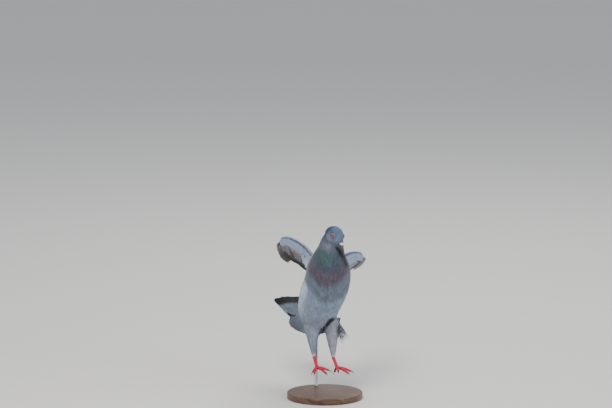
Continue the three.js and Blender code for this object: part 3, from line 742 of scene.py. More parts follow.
def loose(name, paths, normals, width, blunt, color, variety, box, rng, v=None, **how):
    """Vanes of one width on given paths, each a little lighter or darker than the next."""
    paths = np.array(paths)
    count, rows = paths.shape[:2]
    tone = rng.normal(1, variety, count)[:, None, None, None]
    chart = in_box(box, rng.random(count), rng.random(count) if v is None else v)
    wide = np.full((count, 1), width) * outline(np.linspace(0, 1, rows), blunt)
    color = np.broadcast_to(color, (count, rows, 1, 3)) * tone
    return vanes(name, paths, np.broadcast_to(normals, paths.shape), wide, color, chart, **how)


# ---- small feathers on head, body and thighs

COAT_SHARES = np.array([0, 0.26, 0.5, 0.7, 0.85, 0.95, 1])  # rows of a small feather, closest at its tip
# Feather length along the body, along the head from its back to its bill, and down a thigh.
BODY_LENGTHS = [0, 2, 3.5, 5.5, 8, 10.5, 13], [5.5, 7, 8.5, 12, 15, 17, 21]
HEAD_LENGTHS = [-14, 0, 9, 15], [5.5, 4.0, 2.8, 1.9]
THIGH_LENGTHS = [0, 0.6, 1], [12, 8, 4.2]
NECK_END, BREAST_END = 4.6, 8.4  # places along BODY where one coat piece takes over from the next
THROAT_END = 3  # the coat is laid twice over on the head and thighs, and as far down the neck as this
ROOT_SPACING, NEAREST_ROOTS, FURTHEST_ROOTS = 0.17, 0.72, 2.5  # as a share of the length, and its limits
VANE_WIDTH, STAND_OFF = 0.52, 0.78  # shares of the feather's length and of the coat's depth
AIM_SPREAD, ROOT_SPREAD, TONE_SPREAD = 0.09, 0.42, 0.05  # how unevenly the feathers lie
ROOT_DEPTH = -0.25  # how far a small feather's root lies under the skin
BILL_CLEARANCE, LID_CLEARANCE = 3.4, 0.35


def feather_lengths(skin, t):
    places, region = skin.places, skin.region
    length = np.full(len(places), 9.0)
    length[region == TORSO] = np.interp(t[region == TORSO], *BODY_LENGTHS)
    length[region == HEAD] = np.interp((places[region == HEAD] - HEAD_AT) @ HEAD_FORWARD, *HEAD_LENGTHS)
    for side, k in (("right", THIGH_RIGHT), ("left", THIGH_LEFT)):
        length[region == k] = np.interp(down_thigh(places[region == k], side), *THIGH_LENGTHS)
    return spread(length, edges_of(skin.object.data), 24)


def clear_of_face(places):
    """Places outside the rings of bare lid and the base of the bill."""
    clear = np.linalg.norm(places - on_head(BILL_BASE + 3.6, 0, -0.6), axis=1) > BILL_CLEARANCE
    for side in (-1, 1):
        centre, axis = eye_socket(side)
        gap = places - centre
        off = np.linalg.norm(gap - (gap @ axis)[:, None] * axis, axis=1)
        clear &= (off > LID_SIZE + LID_CLEARANCE) | (gap @ axis < 0)
    return clear


def contour_feathers(skin, rng):
    """Small feathers over the head, body and thighs, each coat piece a part of them."""
    places, region, f = skin.places, skin.region, COAT_SHARES
    t = np.zeros(len(places))
    t[region == TORSO] = nearest_t(places[region == TORSO])
    length = feather_lengths(skin, t)
    allowed = (region <= THIGH_LEFT) & clear_of_face(places)
    picked = skin.sow(allowed, np.clip(length * ROOT_SPACING, NEAREST_ROOTS, FURTHEST_ROOTS), rng)
    picked = np.concatenate([picked, picked[(region[picked] == HEAD) | (t[picked] < THROAT_END)]])
    count = len(picked)
    size = length[picked] * rng.normal(1, 0.09, count).clip(0.75, 1.3)
    aims = skin.lie[picked] + AIM_SPREAD * rng.normal(size=(count, 3))
    starts = places[picked] + ROOT_SPREAD * rng.normal(size=(count, 3))
    paths, normals, corners = skin.march(starts, aims, size, f)
    depth = STAND_OFF * skin.depth[picked] * rng.normal(1, 0.09, count).clip(0.7, 1.35)
    lift = ROOT_DEPTH + depth[:, None] * (0.7 * (1 - (1 - f) ** 3) + 0.3 * f)
    width = (size * rng.normal(VANE_WIDTH, 0.05, count))[:, None] * outline(f)
    tone = rng.normal(1, TONE_SPREAD, count).clip(0.82, 1.18)[:, None, None, None]
    root, edge = 0.84 + 0.16 * ease(f, 0.25, 0.7)[:, None, None], 1 + 0.05 * ease(f, 0.85, 1)[:, None, None]
    color, gloss = skin.color[corners][:, :, None] * tone * root * edge, skin.gloss[corners][:, :, None]
    chart = chart_of(skin, picked)
    region, t = region[picked], t[picked]
    pieces = {
        "coat_head": region == HEAD,
        "coat_neck": (region == TORSO) & (t < NECK_END),
        "coat_breast": (region == TORSO) & (t >= NECK_END) & (t < BREAST_END),
        "coat_rump": (region == TORSO) & (t >= BREAST_END),
        "coat_thigh_right": region == THIGH_RIGHT,
        "coat_thigh_left": region == THIGH_LEFT,
    }
    return [vanes(name, *(rows[own] for rows in (paths, normals, width, color, chart, lift, gloss)), f)
            for name, own in pieces.items()]


# ---- feathers on the wings

PROBE = 16.0  # how far off a wing the search for its skin begins
QUILL_START, QUILL_STACK, QUILL_BEND = 10, 0.34, 7  # bare shaft, step between neighbours, droop of the tip
# Rows of coverts: place across the chord, length, and how far apart they stand along the wing.
COVERT_ROWS = [
    (0.0, 5.0, 1.7), (0.015, 5.5, 2.1), (0.05, 6.5, 2.4), (0.095, 7.5, 2.8), (0.15, 9, 3.2),
    (0.21, 10.5, 3.6), (0.28, 12, 4.0), (0.36, 13.5, 4.4), (0.44, 15, 4.8), (0.53, 18, 5.2), (0.63, 23, 5.6),
    (0.75, 31, 6.2),
]
COVERT_WIDTHS = [6, 14, 30], [0.72, 0.6, 0.42]  # width for each length, as a share of it
COVERT_START, COVERT_RUN = 0.12, 4.86  # where a row begins along the leading edge, and how far it goes
COVERT_POINTS = 8  # along one covert
RUN_ON = 0.75, 0.3  # shares of the chord: where coverts turn to lie along the flight feathers, over what run
COVERT_STAND = 0.5  # height of a covert over the flight feathers
AXILLARY_COUNT = 34


def quill_rise(u, past):
    """How far a flight feather's vane stands over its root, at a distance past the arm's rear edge."""
    length = np.interp(u, [0, 0.47, 0.5, 1], [OUTER_PRIMARY, INNER_PRIMARY, OUTER_SECONDARY, INNER_SECONDARY])
    f = (COVERT_REACH + past - QUILL_START) / (float(length) - QUILL_START)
    return QUILL_STACK * (u * LAST_QUILL - LAST_QUILL / 2) - QUILL_BEND * f * f


def wing_path(skin, wing, t, share, length, upper, rows):
    """A path back over the wing from a place on its chord, running on over the flight feathers."""
    front, rear, face = wing_section(wing, t)
    chord = np.linalg.norm(rear - front)
    u = float(quill_at(t))
    aim, up, way = flight_aim(wing, np.array(u)), wing_up(wing), unit(rear - front)
    path, normals, heights = [], [], []
    for r in range(rows):
        s = share * chord + length * r / (rows - 1)
        past, over = max(s - chord, 0), min(max((s / chord - RUN_ON[0]) / RUN_ON[1], 0), 1)
        bent = unit(way + (aim - way) * over)
        base = front + way * min(s, chord) + bent * past + up * (quill_rise(u, past) * over)
        out = unit(face * (1 - over) + up * over) * (1 if upper else -1)
        spot, _, hit, gap = skin.tree.ray_cast(Vector(base + out * PROBE), Vector(-out), PROBE * 1.3)
        if spot is None and s < 0.2 * chord:
            spot, _, hit, _ = skin.tree.find_nearest(Vector(base))
            base, gap = np.array(spot), PROBE
        on_skin = spot is not None and past == 0
        path.append((base, out))
        heights.append(max(PROBE - gap, COVERT_STAND * over) if on_skin else COVERT_STAND)
        normals.append(unit(out + skin.normals[skin.face_corner[hit]]) if on_skin else out)
    heights = np.array(heights)
    heights[1:-1] = heights[1:-1] / 2 + (heights[:-2] + heights[2:]) / 4
    bases, outs = np.array(path).swapaxes(0, 1)
    return bases + outs * heights[:, None], np.array(normals)


def wing_coverts(skin, side, upper, rng):
    """The rows of coverts on one face of a wing, small in front and long behind."""
    wing, rows, made = WINGS[side], COVERT_POINTS, []
    f = np.linspace(0, 1, rows)
    edge = row_at(wing["edge"], np.linspace(0, WING_END, 60))
    span = np.linalg.norm(np.diff(edge, axis=0), axis=1).sum()
    for share, length, apart in COVERT_ROWS:
        count = int(span / apart)
        for k in range(count):
            t = COVERT_START + COVERT_RUN * (k + 0.5 + rng.normal() * 0.16) / count
            t = min(max(t, 0.05), 4.97)
            here = max(share + rng.normal() * 0.005, 0)
            size = length * (1 - 0.25 * (t / WING_END) ** 2) * rng.normal(1, 0.05)
            size = size if upper else size * (1 - 0.35 * here)
            made.append((*wing_path(skin, wing, np.array(t), here, size, upper, rows), size, t, here))
    paths, normals, sizes, t, here = (np.array(values) for values in zip(*made))
    count = len(made)
    front, rear, _ = wing_section(wing, t)
    share = here[:, None] + sizes[:, None] * f / np.linalg.norm(rear - front, axis=1)[:, None]
    tone = rng.normal(1, 0.04, count).clip(0.86, 1.14)[:, None, None]
    root, tip = (0.86 + 0.14 * ease(f, 0.2, 0.6))[:, None], (1 + 0.10 * ease(f, 0.8, 1))[:, None]
    color = wing_markings(t[:, None] + 0 * share, share, np.full(share.shape, upper)) * tone * tip * root
    lift = ROOT_DEPTH + 1.2 * f ** 0.8 * rng.normal(1, 0.1, count).clip(0.7, 1.3)[:, None]
    width = (sizes * np.interp(sizes, *COVERT_WIDTHS))[:, None] * outline(f, 0.6)
    chart = in_box(f"wing_{side}", (0.5 if upper else 0.0) + 0.48 * np.clip(here, 0, 1), t / WING_END)
    face = "upper" if upper else "under"
    return vanes(f"coverts_{face}_{side}", paths, normals, width, color[:, :, None], chart, lift, thick=0.12)


def axillaries(skin, side, rng):
    """Long pale feathers that hang from the wing's armpit beside the flank."""
    wing, f, paths = WINGS[side], np.linspace(0, 1, 9)[:, None], []
    out = wing["side"]
    for k in range(AXILLARY_COUNT):
        share = (k + 0.5) / AXILLARY_COUNT
        t, back = np.array(0.15 + 1.1 * share), 0.42 + 0.05 * rng.normal()
        start, _ = wing_path(skin, wing, t, back, 1, False, 2)
        aim = unit(np.array([0.04 * out, 0.85 + 0.06 * rng.normal(), -0.62 + 0.2 * share]))
        size = (22 + 4 * share) * rng.normal(1, 0.14)
        paths.append(start[0] + aim * size * f + np.array([0.1 * out, 0.5, 0]) * (5 * f ** 2))
    name, down, lift = f"axillaries_{side}", np.linspace(0, 1, AXILLARY_COUNT), rng.random(AXILLARY_COUNT) * 1.2
    return loose(name, paths, unit([0.8 * out, -0.58, -0.18]), 5.0, 0.6, AXILLARY, 0.03, name, rng, down,
                 lift=lift[:, None])


# ---- loose feathers on the flank

WISP = srgb(80, 86, 98)
WISP_ROOT, WISP_AIM, WISP_FACE = np.array([20.0, 6, 119]), np.array([0.40, -0.02, -0.9]), (0.3, -0.9, 0.2)
WISP_COUNT, WISP_LENGTH, WISP_WIDTH = 52, 27, 0.85


def wisps(rng):
    """A loose bundle of soft feathers that stand off the left flank."""
    f, paths = np.linspace(0, 1, 8)[:, None], []
    for _ in range(WISP_COUNT):
        start = WISP_ROOT + rng.normal(size=3) * 2.6
        way = unit(WISP_AIM + 0.16 * rng.normal(size=3))
        size = WISP_LENGTH * rng.uniform(0.7, 1.1)
        paths.append(start + way * (size * f) + np.array([0, 0, -1.0]) * (0.12 * size * f ** 2))
    return loose("flank_wisps_left", paths, unit(WISP_FACE), WISP_WIDTH, 0.4, WISP, 0.08, "wisps", rng,
                 lies_on_skin=False)


# ---- flight and tail feathers

QUILL_ROWS, WIDE_VANE = 26, 12.5
QUILL_STOPS = np.array([-1, -0.6, -0.25, -0.06, 0.06, 0.25, 0.6, 1.0])  # places across a quill's section
TAIL_AXIS = backward(-TAIL_TURN, -TAIL_RISE)
TAIL_TILT = np.array(Matrix.Rotation(math.radians(TAIL_ROLL), 3, Vector(TAIL_AXIS)))


def quill_feathers(name, feathers, rng):
    """Long feathers with a raised shaft, each a dict of its root, directions, sizes and colours."""
    f = np.linspace(0, 1, QUILL_ROWS) ** 0.85
    ring, below = section(QUILL_STOPS)
    rings, colors = [], []
    for feather in feathers:
        aim, length, blunt = feather["aim"], feather["length"], feather["blunt"]
        across = unit(np.cross(aim, feather["up"]))
        up = unit(np.cross(across, aim))
        c, s = math.cos(math.radians(feather["roll"])), math.sin(math.radians(feather["roll"]))
        across, up = across * c + up * s, up * c - across * s
        line = feather["root"] + aim * (feather["start"] + (length - feather["start"]) * f)[:, None]
        line = line - up * (feather["bend"] * f ** 2)[:, None] + across * (feather["sweep"] * f ** 2)[:, None]
        tip = np.sqrt(np.clip(1 - np.clip((f - blunt) / (1.01 - blunt), 0, 1) ** 2.4, 0.01, 1))
        swell = ((0.72 + 0.28 * ease(f, 0, 0.5)) * tip)[:, None]
        split = np.ones((QUILL_ROWS, len(ring)))
        for side in (-1, 1):
            for _ in range(rng.integers(1, 3)):
                at = rng.integers(int(QUILL_ROWS * 0.45), QUILL_ROWS - 3)
                split[at, (ring * side) > 0.5] = rng.uniform(0.86, 0.94)
        x = ring * np.where(ring < 0, feather["left"], feather["right"]) * swell * split
        ridge = np.exp(-(ring / 0.1) ** 2) * np.where(below > 0, -1.0, 1.0)
        shaft = (0.95 * (1 - 0.8 * f))[:, None] * ridge
        droop = -feather["camber"] * np.abs(ring) ** 1.8 * swell
        rise = np.where(below > 0, -0.22, 0.0) * (1 - np.abs(ring)) + droop + shaft
        rings.append(line[:, None] + across * x[..., None] + up * rise[..., None])
        color = feather["color"](f[:, None] + 0 * ring, ring + 0 * f[:, None], below > 0)
        dark = 0.9 * np.exp(-(ring / 0.09) ** 2)[None, :]
        colors.append(mix(color, color * 0.62, dark) * rng.normal(1, 0.03))
    ends = np.linspace(0, 1, len(feathers))
    chart = in_box(name, ends, ends)
    return feather_object(name, np.array(rings), np.array(colors), 0.0, chart, ring, f[:, None])


def flight_color(is_primary, pale):
    """Flight feathers: grey above, brownish below, darker to the tip, with a black bar on the secondaries, and
    painted shade and light below.
    """
    def color(f, side, is_below):
        below = mix(FLIGHT_BASE, FLIGHT, ease(f, 0.1, 0.5))
        below = mix(below, FLIGHT_TIP, 0.9 * ease(f, 0.55, 0.96))
        # Painted shade: the underside darkens towards each vane's edges, where the neighbouring feathers
        # overlap it.
        below = mix(below, FLIGHT_TIP, 0.7 * ease(np.abs(side), 0.55, 1) * ease(f, 0.2, 0.5))
        # Painted light: the underside is paler by the share pale, for the wing that takes more light.
        below = mix(below, FLIGHT_LIT, pale * (1 - 0.6 * ease(f, 0.75, 1.0)))
        above = (mix(FLIGHT_UPPER, FLIGHT_UPPER_TIP, ease(f, 0.4, 0.95)) if is_primary else
                 mix(WING_TOP, WING_BAR, ease(f, 0.68, 0.74)))
        return np.where(is_below[:, None], below, above)
    return color


def flight_feathers(side, rng):
    """The primaries on the hand and the secondaries on the forearm."""
    wing, feathers = WINGS[side], []
    up, out = wing_up(wing), wing["side"]
    for i in range(LAST_QUILL + 1):
        u, is_primary = np.array(i / LAST_QUILL), i < PRIMARIES
        if is_primary:
            inward = i / (PRIMARIES - 1)
            length = OUTER_PRIMARY + (INNER_PRIMARY - OUTER_PRIMARY) * inward
            narrow, sweep, blunt = 4.5 + 3.0 * inward, 2.0, 0.7
        else:
            inward = (i - PRIMARIES) / (SECONDARIES - 1)
            length = OUTER_SECONDARY + (INNER_SECONDARY - OUTER_SECONDARY) * inward
            narrow, sweep, blunt = 8.0, 0.4, 0.82
        feathers.append(dict(
            root=flight_root(wing, u) + up * (QUILL_STACK * (i - LAST_QUILL / 2)), up=up,
            aim=unit(flight_aim(wing, u) + 0.008 * rng.normal(size=3)), length=length * rng.normal(1, 0.008),
            start=QUILL_START, bend=QUILL_BEND * (1 + 0.06 * rng.normal()), sweep=-out * sweep, blunt=blunt,
            roll=-out * 5.0, left=narrow if out > 0 else WIDE_VANE, right=WIDE_VANE if out > 0 else narrow,
            # Painted light: the left wing's undersides are painted much paler than the right's.
            camber=1.1, color=flight_color(is_primary, 1.0 if out > 0 else 0.15)))
    return quill_feathers(f"quills_{side}", feathers, rng)


def tail_color(out):
    """A tail feather: grey with a dark end band, its outer edge paler on the outermost."""
    def color(f, side, is_below):
        shade = mix(mix(RUMP_GREY, TAIL_GREY, ease(f, 0.1, 0.4)), TAIL_BAND, ease(f, 0.66, 0.77))
        shade = mix(shade, TAIL_GREY * 0.8, 0.7 * ease(f, 0.97, 0.99))
        edge = (abs(out) > 0.95) * ease(side * np.sign(out), 0.2, 0.5) * (1 - ease(f, 0.4, 0.6))
        return mix(shade, TAIL_EDGE, edge) * np.where(is_below, 0.9, 1.0)[:, None]
    return color


def tail_feathers(rng):
    feathers = []
    middle = (TAIL_FEATHERS - 1) / 2
    for i in range(TAIL_FEATHERS):
        out = (i - middle) / middle
        root = np.array([(i - middle) * TAIL_ROOT_SPACING, 0, -1.5 * out * out - 1.6 * abs(out)])
        aim = unit(backward(-TAIL_TURN + TAIL_SPREAD * out, -TAIL_RISE) + 0.006 * rng.normal(size=3))
        feathers.append(dict(
            root=TAIL_ROOT + TAIL_TILT @ root, aim=TAIL_TILT @ aim, up=TAIL_TILT @ unit([0.3 * out, 0, 1.0]),
            length=TAIL_LENGTH * (1 - 0.05 * out * out) * rng.normal(1, 0.006), start=4, bend=1.5, sweep=0.0,
            blunt=0.86, roll=4.0 * np.sign(out), left=9.5 + np.sign(out), right=9.5 - np.sign(out),
            camber=0.9, color=tail_color(out)))
    return quill_feathers("tail_feathers", feathers, rng)


def tail_coverts(name, rise, rng):
    """Feathers over or under the tail's root, from the rump's end back onto the tail."""
    f, paths, normals = np.linspace(0, 1, 9)[:, None], [], []
    for _ in range(130):
        out, back = rng.uniform(-1, 1), rng.uniform(0, 1)
        offset = np.array([out * (25 - 9 * back), 0, rise * (7.0 - 3.4 * back - 3 * out * out)])
        root = TAIL_ROOT + TAIL_AXIS * (8 + 24 * back) + TAIL_TILT @ offset
        turn = -TAIL_TURN + 8 * out + 1.5 * rng.normal()
        aim = TAIL_TILT @ backward(turn, -TAIL_RISE + rise * (3.5 + 0.5 * rng.normal()))
        paths.append(root + aim * (29 * rng.normal(1, 0.08) * f))
        normals.append(TAIL_TILT @ unit([0.3 * out, 0, rise]))
    color = RUMP_GREY if rise > 0 else TAIL_GREY
    return loose(name, paths, np.array(normals)[:, None], 9.0, 0.6, color, 0.05, "tail_coverts", rng)


# ---- eyes, bill and stand

EYE_SIZE, IRIS_SIZE, PUPIL_SIZE = 4.5, 3.15, 1.55
LID_SIZE, LID_WIDTH, LID_THICKNESS, LID_HEIGHT, LID_SLOPE = 3.55, 0.62, 0.3, 2.85, math.radians(24)
LID_TURNS, LID_SIDES, LID_PUCKERS = 72, 10, 18
LID = srgb(92, 96, 108)
IRIS_INNER, IRIS, IRIS_EDGE, PUPIL = srgb(176, 74, 26), srgb(146, 36, 20), srgb(52, 14, 14), srgb(4, 4, 6)
BASE_TOP, BASE_RADIUS, BASE_BEVEL = 10.0, 60.0, 1.8
ROD_AT = (-8, 44, 0)


def hoops(rings, sides, closed=False):
    """Faces between each ring of points and the next, and from the last to the first if closed."""
    pairs = [(k, (k + 1) % rings, j, (j + 1) % sides) for k in range(rings if closed else rings - 1)
             for j in range(sides)]
    return [(k * sides + j, k * sides + n, after * sides + n, after * sides + j) for k, after, j, n in pairs]


def solid(name, points, faces):
    """A closed object with its faces turned outward."""
    obj = mesh_object(name, points, faces)
    work = bmesh.new()
    work.from_mesh(obj.data)
    bmesh.ops.recalc_face_normals(work, faces=work.faces)
    work.to_mesh(obj.data)
    work.free()
    return obj


def lathe(name, profile, origin, axis, sides=40, squeeze=1.0):
    """A solid of revolution from (radius, height) pairs, its ends on the axis, squeezed along one width."""
    axis = unit(axis)
    a = unit(np.cross([0.3, 1.0, 0.2], axis))
    b = np.cross(axis, a)
    turn = 2 * math.pi * np.arange(sides) / sides
    inner = [(r, h) for r, h in profile if r > 0]
    x, y = np.cos(turn)[:, None] * a, np.sin(turn)[:, None] * b
    points = [np.array(origin) + axis * h + (x * r + y * r * squeeze) for r, h in inner]
    ends = [np.array(origin) + axis * profile[k][1] for k in (0, -1)]
    first, top = len(inner) * sides, (len(inner) - 1) * sides
    caps = [face for j in range(sides) for face in
            ((first, (j + 1) % sides, j), (first + 1, top + j, top + (j + 1) % sides))]
    return solid(name, np.vstack([*points, *ends]), hoops(len(inner), sides) + caps)


def eye_socket(side):
    """Centre of the eyeball and the way it looks."""
    axis = unit(HEAD_LEFT * side * 0.94 + HEAD_FORWARD * 0.1 + HEAD_UP * 0.24)
    return on_head(EYE_AT[0], side * EYE_AT[1], EYE_AT[2]) - 0.25 * axis, axis


def eyeball(name, side):
    """An eyeball, bulging at its front, with its iris and pupil."""
    centre, gaze = eye_socket(side)
    angles = np.linspace(0, math.pi, 37)
    bulge = 0.3 * np.exp(-(angles / 0.5) ** 2)
    profile = [((EYE_SIZE + b) * math.sin(a), (EYE_SIZE + b) * math.cos(a)) for a, b in zip(angles, bulge)]
    profile[0], profile[-1] = (0, EYE_SIZE + bulge[0]), (0, -EYE_SIZE)
    ball = lathe(f"eyeball_{name}", profile, centre, gaze, 48)
    gap = vertices_of(ball.data) - centre
    radius = np.linalg.norm(gap - (gap @ gaze)[:, None] * gaze, axis=1)
    radius = np.where(gap @ gaze > 0, radius, EYE_SIZE * 2)
    streak = 0.9 + 0.1 * np.sin(np.arange(len(radius)) * 2.4)
    color = mix(IRIS_INNER, IRIS, ease(radius, PUPIL_SIZE, 2.6)) * streak[:, None]
    color = mix(color, IRIS_EDGE, ease(radius, IRIS_SIZE - 0.5, IRIS_SIZE))
    color = mix(PUPIL, color, ease(radius, PUPIL_SIZE - 0.1, PUPIL_SIZE + 0.22))
    set_color(ball.data, "plumage", mix(color, LID, ease(radius, LID_SIZE - 0.2, LID_SIZE + 0.2)))
    return ball


def eyelid(name, side):
    """The puckered ring of bare skin round an eye."""
    centre, gaze = eye_socket(side)
    a = unit(np.cross(HEAD_UP, gaze))
    b = np.cross(gaze, a)
    around, rings = 2 * math.pi * np.arange(LID_SIDES) / LID_SIDES, []
    for k in range(LID_TURNS):
        turn = 2 * math.pi * k / LID_TURNS
        wide = LID_WIDTH * np.cos(around)
        thick = LID_THICKNESS * np.sin(around) * (1 + 0.12 * math.sin(turn * LID_PUCKERS))
        out = LID_SIZE + wide * math.cos(LID_SLOPE) + thick * math.sin(LID_SLOPE)
        rise = LID_HEIGHT - wide * math.sin(LID_SLOPE) + thick * math.cos(LID_SLOPE)
        way = a * math.cos(turn) * 1.04 + b * math.sin(turn) * 0.94
        rings.append(centre + gaze * rise[:, None] + way * out[:, None])
    return solid(f"eyelid_{name}", np.concatenate(rings), hoops(LID_TURNS, LID_SIDES, True))


def nostril(name, side):
    """The slit under the cere's overhang."""
    profile = [(0.42 * math.sin(a), 1.5 * math.cos(a)) for a in np.linspace(0, math.pi, 9)]
    profile[0], profile[-1] = (0, 1.5), (0, -1.5)
    centre = on_head(BILL_BASE + 6.2, side * 2.55, -0.45)
    return lathe(f"nostril_{name}", profile, centre, HEAD_FORWARD - 0.35 * HEAD_UP, 12, 0.6)


def stand_base():
    """A round base with a rounded upper edge."""
    r, top, bevel = BASE_RADIUS, BASE_TOP, BASE_BEVEL
    profile = [(0, 0), (r - 0.6, 0), (r, 0.6), (r, top - bevel)]
    profile += [(r - bevel + bevel * math.cos(a), top - bevel + bevel * math.sin(a))
                for a in np.linspace(0, math.pi / 2, 6)[1:]]
    return lathe("base", profile + [(r - 8, top), (2.4, top), (0, top)], (0, 0, 0), (0, 0, 1), 96)


def stand_rod():
    """A rod with a collar at its foot."""
    profile = [(0, 9.6), (3.4, 9.8), (3.4, 12.2), (3.0, 12.6), (2.2, 12.7), (2.2, 107.4), (0, 107.9)]
    return lathe("rod", profile, ROD_AT, (0, 0, 1), 32)


# ---- materials


class Material:
    """A Principled material under construction."""

    def __init__(self, name, **values):
        self.data = bpy.data.materials.new(name)
        self.data.use_nodes = True
        self.tree = self.data.node_tree
        self.shader = self.tree.nodes["Principled BSDF"]
        for key, value in values.items():
            self.shader.inputs[key.replace("_", " ")].default_value = value

    def node(self, kind, inputs=(), **values):
        """A node of a kind, with links or numbers for its first inputs, and other values by name."""
        node = self.tree.nodes.new("ShaderNode" + kind)
        for key, value in values.items():
            if hasattr(node, key):
                setattr(node, key, value)
            else:
                node.inputs[key.replace("_", " ")].default_value = value
        for k, value in enumerate(inputs):
            self.feed(node.inputs[k], value)
        return node

    def feed(self, target, value):
        """Links an output to an input, or sets the input to a number or a colour."""
        if isinstance(value, bpy.types.NodeSocket):
            self.tree.links.new(value, target)
        else:
            target.default_value = value

    def place(self, scale=None):
        """Coordinates fixed to the object, stretched by a scale along each axis."""
        where = self.node("TexCoord").outputs["Object"]
        if scale is None:
            return where
        mapping = self.node("Mapping", Scale=scale)
        self.feed(mapping.inputs["Vector"], where)
        return mapping.outputs["Vector"]

    def noise(self, scale, detail=3.0, where=None, **values):
        node = self.node("TexNoise", Scale=scale, Detail=detail, **values)
        self.feed(node.inputs["Vector"], where or self.place())
        return node.outputs["Fac"]

    def ramp(self, source, low, high):
        node = self.node("MapRange", [source])
        node.inputs["To Min"].default_value, node.inputs["To Max"].default_value = low, high
        return node.outputs["Result"]

    def multiply(self, color, factor):
        node = self.node("Mix", data_type="RGBA", blend_type="MULTIPLY")
        for k, value in ((0, 1), (6, color), (7, factor)):
            self.feed(node.inputs[k], value)
        return node.outputs[2]

    def math(self, operation, *inputs):
        return self.node("Math", inputs, operation=operation).outputs[0]

    def attribute(self, name, output="Color"):
        return self.node("Attribute", attribute_name=name).outputs[output]

    def finish(self, color, roughness, height, strength, distance):
        """Takes its colour, its roughness and a bump from the height, and gives the material."""
        bump = self.node("Bump", Strength=strength, Distance=distance)
        self.feed(bump.inputs["Height"], height)
        inputs = {"Base Color": color, "Roughness": roughness, "Normal": bump.outputs["Normal"]}
        for name, value in inputs.items():
            self.feed(self.shader.inputs[name], value)
        return self.data


def plumage_material(name, barbs, slant, shine=0.2):
    """Feathers: the markings, barbs running out from the shaft, and a metallic gloss on the neck."""
    m = Material(name, Sheen_Weight=0.04, Sheen_Roughness=0.45, Specular_IOR_Level=shine)
    color = m.multiply(m.attribute("plumage"), m.ramp(m.noise(320), 0.86, 1.12))
    color = m.multiply(color, m.ramp(m.noise(70), 0.84, 1.14))
    color = m.multiply(color, m.ramp(m.noise(230, 2.0, m.place((1, 1, 0.3))), 0.56, 1.42))
    gloss = m.attribute("gloss", "Fac")
    m.feed(m.shader.inputs["Metallic"], m.ramp(gloss, 0.0, 0.45))
    vane = m.node("SeparateXYZ", [m.node("UVMap", uv_map="Vane").outputs["UV"]]).outputs
    lines = m.math("MULTIPLY_ADD", m.math("ABSOLUTE", vane[0]), -slant, vane[1])
    height = m.math("SINE", m.math("MULTIPLY", lines, barbs))
    return m.finish(color, m.ramp(gloss, 0.64, 0.40), height, 0.35, 0.00012)


def marked_material(name, grain, shades, sheen, bump, **values):
    """The markings with fine variation. Each triple is a noise scale and the range it makes."""
    m = Material(name, **values)
    color = m.multiply(m.attribute("plumage"), m.ramp(m.noise(grain), *shades))
    roughness = m.ramp(m.noise(sheen[0]), *sheen[1:])
    return m.finish(color, roughness, m.noise(bump[0], bump[1]), *bump[2:])


def plain_material(name, color, roughness, grain, bump, depth=0.00015, **values):
    """One colour with fine variation, and a grain that stands up."""
    m = Material(name, **values)
    color = m.multiply((*color, 1), m.ramp(m.noise(grain), 0.8, 1.12))
    roughness = m.ramp(m.noise(grain * 0.6), roughness - 0.08, roughness + 0.08)
    return m.finish(color, roughness, m.noise(grain * 1.7, 4.0), bump, depth)


def leg_material():
    """Red scaly skin: plates across the front of the shank and the toes."""
    m = Material("leg_scales", Specular_IOR_Level=0.3)
    cells = m.node("TexVoronoi", [m.place()], feature="DISTANCE_TO_EDGE", Scale=620.0).outputs["Distance"]
    edges = m.ramp(cells, 0.55, 1.25)
    color = m.multiply(m.multiply((*srgb(226, 40, 74), 1), m.ramp(m.noise(150), 0.8, 1.15)), edges)
    return m.finish(color, m.ramp(m.noise(400), 0.42, 0.62), cells, 0.6, 0.0004)


def wood_material():
    m = Material("walnut", Coat_Weight=0.25, Coat_Roughness=0.3)
    grain = m.noise(2.4, 8.0, m.place((9, 90, 60)), Distortion=0.9)
    ramp = m.node("ValToRGB", [grain])
    dark, light = ramp.color_ramp.elements
    dark.position, dark.color = 0.34, (*srgb(58, 38, 26), 1)
    light.position, light.color = 0.68, (*srgb(112, 76, 52), 1)
    return m.finish(ramp.outputs["Color"], m.ramp(grain, 0.38, 0.55), grain, 0.12, 0.0003)


def steel_material():
    m = Material("brushed_steel", Metallic=1.0)
    brush = m.noise(1.0, 3.0, m.place((30, 30, 2400)))
    return m.finish(m.multiply((0.62, 0.63, 0.65, 1), m.ramp(brush, 0.85, 1.08)), m.ramp(brush, 0.24, 0.4),
                    brush, 0.08, 0.0001)


# ---- assembly


def finish_piece(obj, material, nodes=()):
    """The object takes its material, rides with the model and stands for the named CAD nodes."""
    obj.data.materials.clear()
    obj.data.materials.append(material)
    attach(obj, "root")
    if nodes:
        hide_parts(*nodes)


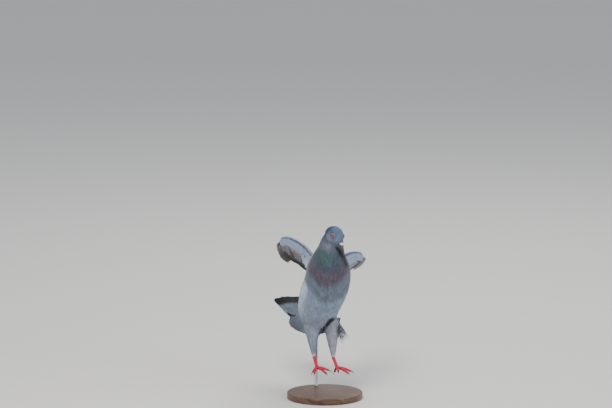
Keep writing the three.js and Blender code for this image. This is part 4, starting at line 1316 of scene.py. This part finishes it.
def build_plumage():
    rng = np.random.default_rng(7)
    small = plumage_material("contour_feathers", 130.0, 0.3)
    long = plumage_material("quill_feathers", 1500.0, 0.12, 0.1)
    bare = marked_material("skin", 260, (0.8, 1.1), (90, 0.7, 0.9), (500, 4.0, 0.4, 0.0002))
    skin = Skin()
    finish_piece(skin.object, bare, skin.replaced)
    coats = contour_feathers(skin, rng)
    for side in WINGS:
        coats += [wing_coverts(skin, side, True, rng), wing_coverts(skin, side, False, rng),
                  axillaries(skin, side, rng)]
    coats += [tail_coverts("tail_coverts_upper", 1, rng), tail_coverts("tail_coverts_under", -1, rng)]
    coats.append(wisps(rng))
    for coat in coats:
        finish_piece(coat, small)
    for side in WINGS:
        finish_piece(flight_feathers(side, rng), long, [f"flight_feathers_{side}"])
    finish_piece(tail_feathers(rng), long, ["tail"])


def build_face():
    glassy = marked_material("eye", 1400, (0.82, 1.12), (900, 0.05, 0.12), (1600, 3.0, 0.05, 0.00004),
                             Coat_Weight=1.0, Coat_Roughness=0.02)
    bare = plain_material("eyelid", LID, 0.7, 900, 0.4, Specular_IOR_Level=0.2)
    horn = plain_material("horn", srgb(66, 60, 62), 0.42, 420, 0.2, Coat_Weight=0.15)
    cere = plain_material("cere_skin", srgb(204, 201, 198), 0.85, 1300, 0.8, 0.0004, Specular_IOR_Level=0.2)
    dark = plain_material("nostril", srgb(30, 26, 26), 0.7, 700, 0.2)
    for name, side in (("left", 1), ("right", -1)):
        finish_piece(eyeball(name, side), glassy, [f"eye_{name}"])
        finish_piece(eyelid(name, side), bare)
        finish_piece(nostril(name, side), dark)
    finish_piece(remeshed("bill_top", ["bill_upper"], 0.3, 5), horn, ["bill_upper"])
    finish_piece(remeshed("bill_bottom", ["bill_lower"], 0.3, 5), horn, ["bill_lower"])
    finish_piece(remeshed("cere_lobes", ["cere"], 0.28, 6), cere, ["cere"])


def build_feet():
    scales = leg_material()
    horn = plain_material("claw_horn", srgb(52, 48, 50), 0.35, 500, 0.2, Coat_Weight=0.2)
    toes = ("hind", "inner", "middle", "outer")
    for side in THIGHS:
        nodes = [f"tarsus_{side}"] + [f"toe_{toe}_{side}" for toe in toes]
        finish_piece(remeshed(f"foot_{side}", nodes, 0.42, 3, 0.75), scales, nodes)
        nodes = [f"claw_{toe}_{side}" for toe in toes]
        finish_piece(remeshed(f"claws_{side}", nodes, 0.25, 3, 0.15), horn, nodes)


add_camera()
add_stage()
build_plumage()
build_face()
build_feet()
finish_piece(stand_base(), wood_material(), ["stand_base"])
finish_piece(stand_rod(), steel_material(), ["stand_rod"])
